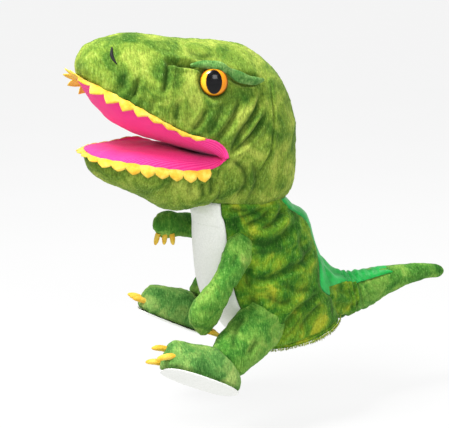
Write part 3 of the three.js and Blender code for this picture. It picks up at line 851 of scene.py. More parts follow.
def corner_normals(piece: bpy.types.Object) -> Points:
    """Unit normals at a mesh's corners."""
    flat = np.zeros(3 * len(piece.data.vertices), np.float32)
    piece.data.vertices.foreach_get("normal", flat)
    return flat.reshape(-1, 3).astype(float)


def sculpt(piece: bpy.types.Object, height: Points, shade: Points | None = None) -> None:
    """Moves each corner of a finished form outwards by height (mm) and stores its shade."""
    place(piece, coordinates(piece) + corner_normals(piece) * height[:, None])
    values = piece.data.attributes.get("shade") or piece.data.attributes.new("shade", "FLOAT", "POINT")
    values.data.foreach_set("value", (np.zeros(len(height)) if shade is None else shade).astype(np.float32))


# ------------------------------------------------------------------ head and jaw

HINGE = np.array([-86.0, 179.0])  # y and z of the mouth's axis


def from_hinge(length: float, degrees: float) -> tuple[float, float]:
    """A point (y, z) at a distance and an angle from the mouth's axis."""
    a = math.radians(degrees)
    return (HINGE[0] + length * math.cos(a), HINGE[1] + length * math.sin(a))


@dataclass
class Mouth:
    """The lips: where the head's and the jaw's rims run, and how they round off at the corners.

    Each lip lies at an angle about the hinge that depends on the distance r from it. Far out the
    angle is the mouth's own. Near the hinge both lips bend apart, which rounds the mouth's corner.
    """

    upper_angle: float = 149.0
    lower_angle: float = 177.0
    upper_length: float = 133.0
    lower_length: float = 110.0
    head_half: float = 57.0
    jaw_half: float = 51.5
    head_fullness: float = 2.4
    jaw_fullness: float = 2.6
    hang: tuple = (0, 6.0, 9.2, 11.8, 14.2, 16.6, 18.0, 17.0, 12.8, 6.6, 0)
    swell: tuple = (0, -1.5, -0.3, 1.8, 2.7, 3.0, 2.9, 2.4, 1.6, 0.8, 0)

    def upper_bend(self, r: Points) -> Points:
        """Degrees by which the upper lip is turned up: 50 at the corner, falling as a bell of r."""
        return 50.0 * np.exp(-((r / 23.0) ** 2))

    def lower_bend(self, r: Points, x: Points) -> Points:
        """Degrees by which the lower lip hangs: it falls exponentially, and less on the right."""
        left = ease(0.5 + x / 60.0)
        right = 58.0 * np.exp(-r / 13.0) - 6.0 * np.exp(-(((r - 45) / 22) ** 2))
        return left * 62.0 * np.exp(-r / 31.0) + (1 - left) * right

    def turned(self, points: Points, rim: float, other: float, bend: Points) -> Points:
        """Turns points about the hinge, fully at the rim's angle and not at all at the other one.

        Args:
            points: Places in mm.
            rim: Angle of the rim in degrees.
            other: Angle where the turn has died away.
            bend: Degrees to turn at the rim, towards other, for each point.

        Returns:
            The turned places.
        """
        d = points[..., 1:] - HINGE
        r = np.linalg.norm(d, axis=-1)
        middle = (rim + other) / 2
        angle = np.degrees(np.arctan2(d[..., 1], d[..., 0]))
        angle = (angle - middle + 180) % 360 - 180 + middle
        share = np.clip((angle - other) / (rim - other), 0, 1)
        angle = np.radians(angle + np.sign(other - rim) * bend * share**1.3)
        return np.stack([points[..., 0], HINGE[0] + r * np.cos(angle), HINGE[1] + r * np.sin(angle)], axis=-1)

    def jaw_width(self, r: Points) -> Points:
        """Half width of the jaw at a distance r: it widens to the head's width at the corner."""
        return self.jaw_half + (self.head_half - self.jaw_half) * np.exp(-r / 14.0)

    def lip(self, upper: bool, s: Points, out: float = 0.0) -> Points:
        """Points of a lip: s runs from -1 at the right corner over 0 at the front to 1 on the left.

        The lip is a superellipse in its mouth plane, of half width by length.
        """
        n = self.head_fullness if upper else self.jaw_fullness
        a = s * np.pi / 2
        length = (self.upper_length if upper else self.lower_length) + out
        r = length * np.maximum(np.cos(a), 0) ** (2 / n)
        half = (self.head_half if upper else self.jaw_width(r)) + out
        x = np.sign(s) * half * np.abs(np.sin(a)) ** (2 / n)
        return self.on_plane(upper, x, r, np.ones_like(r))

    def on_plane(self, upper: bool, x: Points, r: Points, lip_share: Points) -> Points:
        """Points at a distance r on a mouth plane, bent with the lip by lip_share."""
        if upper:
            degrees = self.upper_angle - self.upper_bend(r) * lip_share
        else:
            degrees = self.lower_angle + self.lower_bend(r, x) * lip_share
        return self.at_angle(x, r, degrees)

    @staticmethod
    def at_angle(x: Points, r: Points, degrees: Points) -> Points:
        """Points at x, and at a distance and an angle about the hinge."""
        a = np.radians(degrees)
        return np.stack([x, HINGE[0] + r * np.cos(a), HINGE[1] + r * np.sin(a)], axis=-1)

    def lining(self, upper: bool, inset: float = 0.9) -> Surface:
        """One half of the lining, from the crease in the mouth (row 0) to the lip (last row).

        Column by column x is nearly constant. The distance r from the hinge grows as
        R sqrt(t^2 (1 - e^2) + e^2), where R is the lip's distance. The angle leaves the crease's
        middle angle as t / sqrt(t^2 + k^2) and ends on the lip. Small e and k make the sharp crease
        deep in the mouth; large ones round the web at the corners.

        Args:
            upper: For the palate, otherwise the floor of the mouth.
            inset: Distance in mm from the lip of the skin.

        Returns:
            The surface, shaded in the crease.
        """
        s = np.linspace(-0.996, 0.996, 230)[None, :]
        t = np.linspace(0, 1, 90)[:, None] ** 1.15
        a = s * np.pi / 2
        reaches, widths = [], []
        for length, n in ((self.upper_length, self.head_fullness), (self.lower_length, self.jaw_fullness)):
            reaches.append((length - inset) * np.cos(a) ** (2 / n))
            widths.append(np.sign(s) * np.abs(np.sin(a)) ** (2 / n))
        widths[0] = widths[0] * (self.head_half - inset)
        widths[1] = widths[1] * (self.jaw_width(reaches[1]) - inset)
        mine, other = (0, 1) if upper else (1, 0)
        x = widths[mine] + (widths[other] - widths[mine]) * 0.5 * (1 - ease(t / 0.35))
        web = 0.02 + 0.42 * np.exp(-np.minimum(*reaches) / 15.0)
        r = reaches[mine] * np.sqrt(t**2 * (1 - web**2) + web**2)
        first = 0.5 * (reaches[0] + reaches[1]) * web
        r = r + (first - r) * (1 - ease(t / 0.25))
        near_lip = np.exp(-reaches[mine] * (1 - t) / 7.0)
        half = np.where(upper, self.head_half, self.jaw_half) - inset
        length = (self.upper_length if upper else self.lower_length) - inset
        n = self.head_fullness if upper else self.jaw_fullness
        rim = half * np.maximum(0.001, 1 - np.minimum(r / length, 1) ** n) ** (1 / n)
        across = np.minimum(np.abs(x) / rim, 1)
        near_lip = np.maximum(near_lip, np.exp(-(rim - np.minimum(np.abs(x), rim)) / 3.6))
        flat = self.upper_angle if upper else self.lower_angle
        bend = -self.upper_bend(r) if upper else self.lower_bend(r, x)
        middle = (self.upper_angle + self.lower_angle) / 2
        leave = t / np.sqrt(t**2 + web**2) * np.sqrt(1 + web**2)
        p = self.at_angle(x, r, middle + (flat + bend * near_lip - middle) * leave)
        bowl = (1 - across**2.4) * leave
        if upper:
            hang = curve(np.array(self.hang)[:, None], 10 * r / length)[..., 0]
            into = np.array([0, -0.515, -0.857])
        else:
            hang = curve(np.array(self.swell)[:, None], 10 * r / length)[..., 0]
            into = np.array([0, 0.0, 1.0])
        hang = hang + (0.9 * noise(p, 15, 31) + 0.5 * noise(p, 7, 32)) * ease(r / 20)
        p = p + (hang * bowl)[..., None] * into
        shade = np.exp(-((r / 25) ** 2)) * (1 - near_lip) * (1 - across**5)
        return Surface(p, shade=np.clip(0.95 * shade, 0, 1))


MOUTH = Mouth()


def fan(outline: Points, half: float, fullness: float, s: Points, floor: float | None = None) -> Points:
    """A polar surface about the mouth's axis.

    Row by row the outline (y, z) is drawn in towards the hinge by f = cos(s pi / 2)^(2 / n), while
    the half width grows as half * (1 - f^n)^(1 / n). Where floor is given, f is cut down so that no
    point lies below that height.

    Args:
        outline: Rows of y and z in mm.
        half: Greatest half width in mm.
        fullness: Exponent n; larger is squarer.
        s: Places across, from 0 at the middle to 1 at the lip.
        floor: Lowest height in mm, if any.

    Returns:
        Points in mm, row by row.
    """
    d = outline - HINGE
    reach = np.ones(len(outline))
    if floor is not None:
        low = d[:, 1] < floor - HINGE[1]
        reach = np.where(low, (floor - HINGE[1]) / np.where(low, d[:, 1], 1.0), 1.0)
    f = reach[:, None] * np.cos(s * np.pi / 2)[None, :] ** (2 / fullness)
    x = half * np.maximum(0, 1 - f**fullness) ** (1 / fullness)
    yz = HINGE + f[..., None] * d[:, None]
    return np.concatenate([x[..., None], yz], axis=-1)


HEAD_FOLDS = (
    Fold(((-134, 263), (-126, 260.5), (-118, 259.5), (-106, 257)), 5.2, 2.2),
    Fold(((-113, 256), (-102, 253.5), (-92, 252), (-81, 247), (-70, 242), (-58, 240), (-49, 242)), 2.6, 2.2),
    Fold(((-109, 264), (-98, 263), (-86, 258), (-74, 252), (-60, 248.5), (-46, 246)), 2.0, 2.0),
    Fold(((-133, 263), (-136, 253), (-141, 238)), 4.0, 2.3),
    Fold(((-161, 250), (-163, 244), (-167, 235)), 3.4, 2.2),
    Fold(((-172, 254), (-175, 241)), 2.4, 3.0),
    Fold(((-130, 229), (-132, 214)), 2.2, 3.2),
    Fold(((-103, 222), (-109, 214), (-117, 205)), 3.4, 2.6),
    Fold(((-85, 182), (-75, 199), (-57, 218), (-50, 232)), 4.8, 2.8),
    Fold(((-96, 196), (-81, 213), (-72, 228)), 4.0, 2.5),
    Fold(((-81, 185), (-64, 197), (-48, 214)), 4.0, 2.6),
    Fold(((-104, 201), (-93, 216), (-88, 228)), 1.8, 3.0),
    Fold(((-83, 178), (-72, 169), (-68, 156), (-75, 142)), 3.2, 3.2),
    Fold(((-62, 172), (-58, 156), (-64, 140)), 2.0, 3.6),
    Fold(((-150, 232), (-153, 222)), 1.6, 2.6),
    Fold(((-112, 270), (-100, 266), (-88, 266)), 1.6, 3.0),
)
HEAD_SEAM = Fold(((-38, 240), (-38.5, 229), (-38.5, 207), (-45, 180), (-60, 160)), 2.0, 1.3)
JAW_FOLDS = (
    Fold(((-92, 166), (-88, 146)), 2.6, 2.6),
    Fold(((-100, 163), (-99, 146)), 2.4, 2.6),
    Fold(((-108, 158), (-105, 143)), 2.0, 2.8),
    Fold(((-119, 160), (-117, 146)), 1.4, 2.8),
    Fold(((-134, 164), (-140, 150)), 1.2, 3.4),
)


@dataclass
class Head:
    """The head: two plush halves, eyes, brows, nostrils, palate lining and upper teeth."""

    outline: tuple = (
        from_hinge(133, 149),
        (-201, 262),
        (-190, 277),
        (-155, 285),
        (-113, 279.5),
        (-69, 276),
        (-45, 269),
        (-18, 245),
        (-3, 209),
        (0, 182),
        (-2, 150),
        (-10, 133),
        (-21, 123.6),
        (-41.6, 117.2),
        (-75.4, 125),
        from_hinge(47.6, -95),
    )
    centre: tuple = (0.0, -90.0, 205.0)
    eye_centre: tuple = (48.0, -95.5, 244.6)
    eye_look: tuple = (0.93, -0.34, 0.12)
    eye_radius: float = 12.0
    neck_seam: float = 133.0
    tooth: float = 12.5
    teeth_per_side: int = 10

    def skin(self, side: int) -> Surface:
        """One half of the head, with folds, eye socket, seams and pile.

        Args:
            side: 1 for the left half, -1 for the right.

        Returns:
            The surface in mm.
        """
        rows = evenly(np.array(self.outline), 330)
        s = np.linspace(0, 0.998, 124)
        p = fan(rows, MOUTH.head_half, MOUTH.head_fullness, s, self.neck_seam)
        r = np.linalg.norm(p[..., 1:] - HINGE, axis=-1)
        p = MOUTH.turned(p, MOUTH.upper_angle, 35.0, MOUTH.upper_bend(r))
        flank = ease((p[..., 0] - 14) / 14)
        height, shade = creases(p, HEAD_FOLDS)
        seam, seam_shade = creases(p, (HEAD_SEAM,))
        height = flank * (height + seam)
        shade = flank * np.maximum(shade, 0.7 * seam_shade)
        socket = np.linalg.norm(p - np.array(self.eye_centre), axis=-1)
        height = height - 3.2 * (1 - ease((socket - 9.5) / 7.0)) + 1.1 * np.exp(-(((socket - 18) / 4) ** 2))
        shade = np.maximum(shade, 0.8 * (1 - ease((socket - 12.0) / 4.0)))
        lip = np.linalg.norm(p - p[0:1], axis=-1)
        pucker = np.sin(r * 2 * np.pi / 11.5 + 1.5 * noise(p, 20, 5)) * np.exp(-lip / 9.0)
        height = height + 0.7 * pucker * flank - 1.2 * np.exp(-((lip / 2.2) ** 2))
        height = height - 0.9 * np.exp(-((p[..., 0] / 1.6) ** 2)) * (p[..., 2] > self.neck_seam + 1)
        throat_edge = np.linalg.norm(p - p[-1:], axis=-1)
        height = height - 1.4 * np.exp(-((throat_edge / 2.4) ** 2))
        shade = np.maximum(shade, 0.7 * np.exp(-((throat_edge / 1.8) ** 2)))
        height = height + 1.5 * noise(p, 26, 11) * ease(p[..., 0] / 20)
        near_corner = ease((1 - s) / 0.06)[None, :]
        height = (height + pile(p)) * near_corner
        neck = np.exp(-(((p[..., 2] - self.neck_seam) / 3.0) ** 2))
        height = height - 0.5 * neck
        shade = np.maximum(shade, 0.4 * neck)
        lifted = Surface(p, shade=shade).lifted(height, self.centre)
        lifted.points[:, 0, 0] = np.where(p[:, 0, 0] < 0.5, 0.12, lifted.points[:, 0, 0])
        lifted.points[..., 0] = np.maximum(lifted.points[..., 0], 0.12) * side
        return lifted

    def frame_of_eye(self, side: int) -> tuple[Points, Points, Points, Points]:
        """Centre of an eye and its outward, sideways and upward directions."""
        flip = np.array([side, 1, 1])
        look = np.array(self.eye_look) * flip
        look /= np.linalg.norm(look)
        across = np.cross(look, [0, 0, 1.0])
        across /= np.linalg.norm(across)
        return np.array(self.eye_centre) * flip, look, across, np.cross(across, look)

    def eye(self, side: int) -> bpy.types.Object:
        """A domed disc: the height over the radius is an oval arc above a short upright edge.

        Args:
            side: 1 for left, -1 for right.

        Returns:
            The dome, with a flat map for its iris.
        """
        centre, look, across, up = self.frame_of_eye(side)
        around = np.linspace(0, 2 * np.pi, 72, endpoint=False)
        arc = np.linspace(0, np.pi / 2, 22)[:-1]
        radius = np.concatenate([[self.eye_radius * 0.9, self.eye_radius], self.eye_radius * np.cos(arc)])
        height = np.concatenate([[-4.0, -3.4], 0.6 + 6.6 * np.sin(arc)])
        x = radius[:, None] * np.cos(around)
        y = radius[:, None] * np.sin(around)
        points = centre + x[..., None] * across + y[..., None] * up + height[:, None, None] * look
        piece = stuffed(f"{SIDES[side]}_eye_dome", Surface(points, ring=True))
        flat = coordinates(piece) - centre
        disc = np.stack([flat @ across, flat @ up], axis=-1) / self.eye_radius / 2 + 0.5
        corners = np.zeros(len(piece.data.loops), int)
        piece.data.loops.foreach_get("vertex_index", corners)
        layer = piece.data.uv_layers.new(name="disc")
        layer.data.foreach_set("uv", disc[corners].astype(np.float32).ravel())
        return ride(dress(piece, EYEBALL), "head", f"{SIDES[side]}_eye")

    def brow(self, side: int) -> bpy.types.Object:
        """A stuffed roll in two lobes that lies over the top of the eye.

        Args:
            side: 1 for left, -1 for right.

        Returns:
            The stuffed roll.
        """
        line = np.array([(41.0, -114, 259), (44.6, -105, 259.6), (48.6, -92, 257.6), (50.0, -80, 252.0)])
        line = np.concatenate([line, [(50.4, -68, 246.6), (47.6, -56, 243.6), (42.0, -46, 243.5)]])
        path = evenly(line, 90)
        v = np.linspace(0, 1, 90)
        lobes = 1 - 0.32 * np.exp(-(((v - 0.45) / 0.07) ** 2))
        size = np.sqrt(np.maximum(np.sin(np.pi * (0.02 + 0.96 * v)), 0)) * lobes
        rings = tube_rings(path, np.stack([3.1 * size, 4.6 * size], axis=-1), 40, (1, 0, -0.2))
        a = np.linspace(0, 2 * np.pi, 40, endpoint=False)
        pleats = 0.45 * np.sin(3 * a[None, :] + 9 * v[:, None]) + 0.35 * noise(rings.points, 7, 21)
        rings = rings.lifted(pleats * size[:, None] + pile(rings.points, 0.6), path.mean(axis=0))
        rings.shade = np.broadcast_to(0.5 * np.exp(-(((v - 0.45) / 0.05) ** 2))[:, None], (90, 40)).copy()
        rings.points[..., 0] *= side
        piece = stuffed(f"{SIDES[side]}_brow_roll", rings)
        return ride(dress(piece, BROW_PLUSH), "head", f"{SIDES[side]}_brow")

    def nostril(self, side: int) -> bpy.types.Object:
        """An embroidered crescent: satin stitches laid across it make its ridges.

        Args:
            side: 1 for left, -1 for right.

        Returns:
            The stitched crescent.
        """
        skin = self.skin(1)
        v = np.linspace(-1, 1, 60)[:, None]
        u = np.linspace(-1, 1, 14)[None, :]
        y = -179.5 + 2.2 * v**2 + 1.45 * u * np.sqrt(np.maximum(0.02, 1 - v**2))
        z = 268.5 - 6.6 * v + 0 * u
        flat = skin.points.reshape(-1, 3)
        near = flat[(np.abs(flat[:, 1] + 178) < 12) & (np.abs(flat[:, 2] - 268) < 14)]
        gap = (near[None, :, 1] - y.ravel()[:, None]) ** 2 + (near[None, :, 2] - z.ravel()[:, None]) ** 2
        weight = np.exp(-gap / 3.0)
        x = (weight @ near[:, 0] / weight.sum(axis=1)).reshape(y.shape)
        thread = 0.18 * np.sin(v * 60) * (1 - u**2)
        points = np.stack([x + 0.35 + 0.75 * (1 - u**2) + thread, y, z], axis=-1)
        points[..., 0] *= side
        piece = walled(f"{SIDES[side]}_nostril_stitching", Surface(points), 0.9, self.centre)
        return ride(dress(piece, THREAD), "head", f"{SIDES[side]}_nostril")

    def palate(self) -> bpy.types.Object:
        """The soft palate and the cheeks that stay behind it."""
        face = MOUTH.lining(True)
        for side, columns in ((1, slice(-34, None)), (-1, slice(0, 34))):
            web = Surface(face.points[:, columns], shade=face.shade[:, columns])
            behind = web.lifted(np.full(web.shade.shape, -1.7), (0, -150, 120))
            cheek = walled(f"{SIDES[side]}_cheek_knit", behind, 1.0, (0, -150, 120))
            ride(dress(cheek, KNIT), "head")
        piece = walled("palate_knit", face, 1.2, (0, -150, 120))
        piece = ride(dress(piece, KNIT), "head", "palate_lining")
        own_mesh(piece)
        return piece

    def build(self) -> None:
        """Makes every visible piece of the head."""
        for side in SIDES:
            name = SIDES[side]
            half = walled(f"{name}_head_skin", self.skin(side), 1.8, self.centre)
            ride(dress(half, HEAD_PLUSH), "head", f"head_cover_{name}")
            self.eye(side)
            self.brow(side)
            self.nostril(side)
        self.palate()
        teeth = TeethStrip(True, self.teeth_per_side, self.tooth)
        ride(dress(teeth.build("upper_felt_teeth"), FELT), "head", "upper_teeth")


SIDES = {1: "left", -1: "right"}


@dataclass
class TeethStrip:
    """A felt strip cut into teeth, sewn into one lip.

    Attributes:
        upper: In the upper lip, otherwise the lower.
        per_side: Teeth from the front to a mouth corner.
        longest: Length of the longest tooth in mm.
    """

    upper: bool
    per_side: int
    longest: float
    end: float = 0.9
    felt: float = 1.5

    def build(self, name: str) -> bpy.types.Object:
        """The strip: along the lip by cut length, each tooth a wave of its own length and lean.

        Upper teeth are pointed and grow shallow towards the corners. Lower teeth are round
        scallops that fold out over the jaw. The front ones of both stick forwards.

        Args:
            name: The piece's name.

        Returns:
            The felt strip.
        """
        each = 14
        count = 2 * self.per_side * each + 1
        s = self.even_places(count)
        t = np.linspace(-self.per_side, self.per_side, count)
        phase = t % 1.0
        wave = 1 - np.abs(2 * phase - 1)
        front = np.exp(-((t / 2.2) ** 2))
        back = np.abs(t) / self.per_side
        if self.upper:
            length = self.longest * (0.34 + 0.66 * wave**0.95) * (1.0 - 0.7 * ease((back - 0.15) / 0.7))
        else:
            length = self.longest * (0.4 + 0.6 * wave**0.55) * (0.66 + 0.34 * ease(back / 0.6))
        length = length * (1 + 0.12 * noise(np.stack([t, 0 * t, 0 * t], axis=-1), 1.3, 41))
        root = MOUTH.lip(self.upper, s, 0.4)
        outward = MOUTH.lip(self.upper, s, 6.0) - root
        outward /= np.maximum(np.linalg.norm(outward, axis=1, keepdims=True), 1e-9)
        down = np.array([0, -0.515, -0.857]) if self.upper else np.array([0, 0.05, -1.0])
        if self.upper:
            lean = 0.35 + 0.95 * front + 0.12 * noise(np.stack([t, 0 * t, 0 * t], axis=-1), 0.8, 43)
        else:
            lean = 0.42 + 1.2 * front
        droop = 1 - (1.25 if self.upper else 0.75) * front
        aim = down * droop[:, None] + lean[:, None] * outward
        aim /= np.linalg.norm(aim, axis=1, keepdims=True)
        v = np.linspace(-0.18, 1, 12)
        curl = 0.9 * np.sin(np.pi * np.clip(v, 0, 1))
        p = root[:, None] + aim[:, None] * (length[:, None] * v)[..., None] + outward[:, None] * curl[None, :, None]
        edge = np.broadcast_to(np.clip(v, 0, 1) ** 8, p.shape[:2])
        wall = self.felt * (1 - 0.5 * edge)
        normal = np.cross(np.gradient(p, axis=1), np.gradient(p, axis=0))
        normal /= np.maximum(np.linalg.norm(normal, axis=-1, keepdims=True), 1e-9)
        if np.sum(normal * outward[:, None]) < 0:
            normal = -normal
        p = p + normal * (0.5 * wall + 0.14 * noise(p, 1.8, 47))[..., None]
        rows, columns = p.shape[:2]
        inner = p - normal * wall[..., None]
        faces = backed(quads(rows, columns, False), [rim(rows, columns)], rows * columns)
        points = np.concatenate([p.reshape(-1, 3), inner.reshape(-1, 3)])
        return closed_mesh(name, points, faces.tolist(), np.zeros(len(points)))

    def even_places(self, count: int) -> Points:
        """Lip places at even lengths between the two ends of the strip."""
        fine = np.linspace(-self.end, self.end, 1200)
        lip = MOUTH.lip(self.upper, fine, 0.4)
        length = np.append(0, np.cumsum(np.linalg.norm(np.diff(lip, axis=0), axis=1)))
        return np.interp(np.linspace(0, length[-1], count), length, fine)


@dataclass
class Jaw:
    """The lower jaw: plush skin with the throat, pink lining and lower teeth."""

    outline: tuple = (
        from_hinge(47.6, -95),
        from_hinge(51, -104),
        from_hinge(55, -115),
        (-120, 128),
        (-134, 132),
        (-148, 142),
        (-165, 152),
        (-185, 162.5),
        (-194, 173),
        from_hinge(110, 177),
    )
    centre: tuple = (0.0, -130.0, 172.0)
    tooth: float = 9.2
    teeth_per_side: int = 10
    bend_start: tuple = (0, -88, 150)
    bend_end: tuple = (0, -112, 152)

    def skin(self) -> Surface:
        """The jaw from the throat seam to the lip, both sides in one piece."""
        rows = evenly(np.array(self.outline), 150)
        half = np.linspace(0, 0.997, 100)
        s = np.concatenate([-half[:0:-1], half])
        width = MOUTH.jaw_half + (MOUTH.head_half - MOUTH.jaw_half) * (1 - ease(np.linspace(0, 1, 150) / 0.3))
        p = fan(rows, 1.0, MOUTH.jaw_fullness, np.abs(s))
        r = np.linalg.norm(p[..., 1:] - HINGE, axis=-1)
        p[..., 0] = p[..., 0] * np.sign(s) * np.maximum(width[:, None], MOUTH.jaw_width(r))
        p = MOUTH.turned(p, MOUTH.lower_angle, 258.0, MOUTH.lower_bend(r, p[..., 0]))
        flank = ease((np.abs(p[..., 0]) - 14) / 14)
        height, shade = creases(p, JAW_FOLDS)
        height, shade = height * flank, shade * flank
        lip = np.linalg.norm(p - p[-1:], axis=-1)
        seam = np.linalg.norm(p - p[0:1], axis=-1)
        pucker = np.sin(r * 2 * np.pi / 10.0 + 1.5 * noise(p, 20, 7)) * np.exp(-lip / 10.0)
        height = height + 0.8 * pucker - 1.0 * np.exp(-((lip / 2.0) ** 2)) - 1.4 * np.exp(-((seam / 2.4) ** 2))
        shade = np.maximum(shade, 0.7 * np.exp(-((seam / 1.8) ** 2)))
        height = height + 1.3 * noise(p, 24, 13) + pile(p)
        height = height * ease((1 - np.abs(s)) / 0.06)[None, :]
        return Surface(p, shade=shade).lifted(height, self.centre)

    def build(self) -> None:
        """Makes the jaw's pieces: the skin, which reaches the throat, the lining and the lower teeth."""
        skin = dress(walled("jaw_skin", self.skin(), 1.8, self.centre), HEAD_PLUSH)
        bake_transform(skin)
        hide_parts("jaw_cover", "throat_gusset")
        lining = dress(walled("jaw_knit", MOUTH.lining(False), 1.2, (0, -140, 230)), KNIT)
        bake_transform(lining)
        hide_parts("jaw_lining")
        teeth = dress(TeethStrip(False, self.teeth_per_side, self.tooth, 0.94).build("lower_felt_teeth"), FELT)
        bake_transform(teeth)
        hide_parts("lower_teeth")


# ------------------------------------------------------------------ body and neck

BODY_FOLDS = (
    Fold(((-24, 127), (-38, 116), (-50, 112)), 4.2, 3.6),
    Fold(((-77, 130), (-62, 128)), 3.0, 2.6),
    Fold(((-72, 122), (-58, 126), (-46, 130)), 3.0, 2.8),
    Fold(((-64, 115), (-50, 121), (-40, 128)), 3.2, 2.8),
    Fold(((-70, 105), (-56, 99), (-42, 98), (-28, 104), (-16, 110)), 5.0, 4.6),
    Fold(((-60, 91), (-44, 90), (-28, 92)), 2.2, 4.0),
    Fold(((-64, 67), (-46, 66), (-30, 71), (-4, 77), (8, 84)), 3.6, 3.6),
    Fold(((-60, 78), (-64, 68), (-62, 58)), 2.6, 3.0),
    Fold(((-60, 51), (-56, 38), (-44, 22), (-40, 10)), 4.2, 4.2),
    Fold(((-46, 50), (-34, 42), (-22, 44)), 2.4, 3.8),
    Fold(((-38, 3), (-19, 31), (-2, 40), (12, 45)), 3.4, 3.4),
    Fold(((-27, 7), (-9, 30), (12, 43)), 1.6, 2.4),
    Fold(((-14, 14), (0, 28), (14, 34)), 2.2, 3.6),
    Fold(((-30, 60), (-18, 52), (0, 50)), 2.0, 4.2),
    Fold(((-10, 100), (-6, 88), (2, 76)), 1.8, 3.6),
)
SATIN_FOLDS = (
    Fold(((-20, 118), (-20, 60), (-10, 30)), 1.2, 3.0),
    Fold(((-8, 110), (-10, 70), (-8, 34)), 1.6, 2.6),
    Fold(((6, 108), (7, 72), (5, 40)), 1.8, 2.8),
    Fold(((18, 112), (20, 66), (14, 34)), 1.2, 3.0),
)


@dataclass(frozen=True)
class Panel:
    """One cut panel of the trunk.

    Attributes:
        name: Short name.
        first: Number of the seam where it starts.
        share: Its rough share of the way round, which sets its number of columns.
        finish: Its cloth.
        node: The CAD node it stands for.
    """

    name: str
    first: int
    share: float
    finish: Finish
    node: str


PANELS = (
    Panel("belly", 0, 0.25, BELLY, "belly_panel"),
    Panel("left_side", 1, 0.32, BODY_PLUSH, "side_panel_left"),
    Panel("spine", 2, 0.24, SATIN, "spine_panel"),
    Panel("right_side", 3, 0.32, BODY_PLUSH, "side_panel_right"),
)


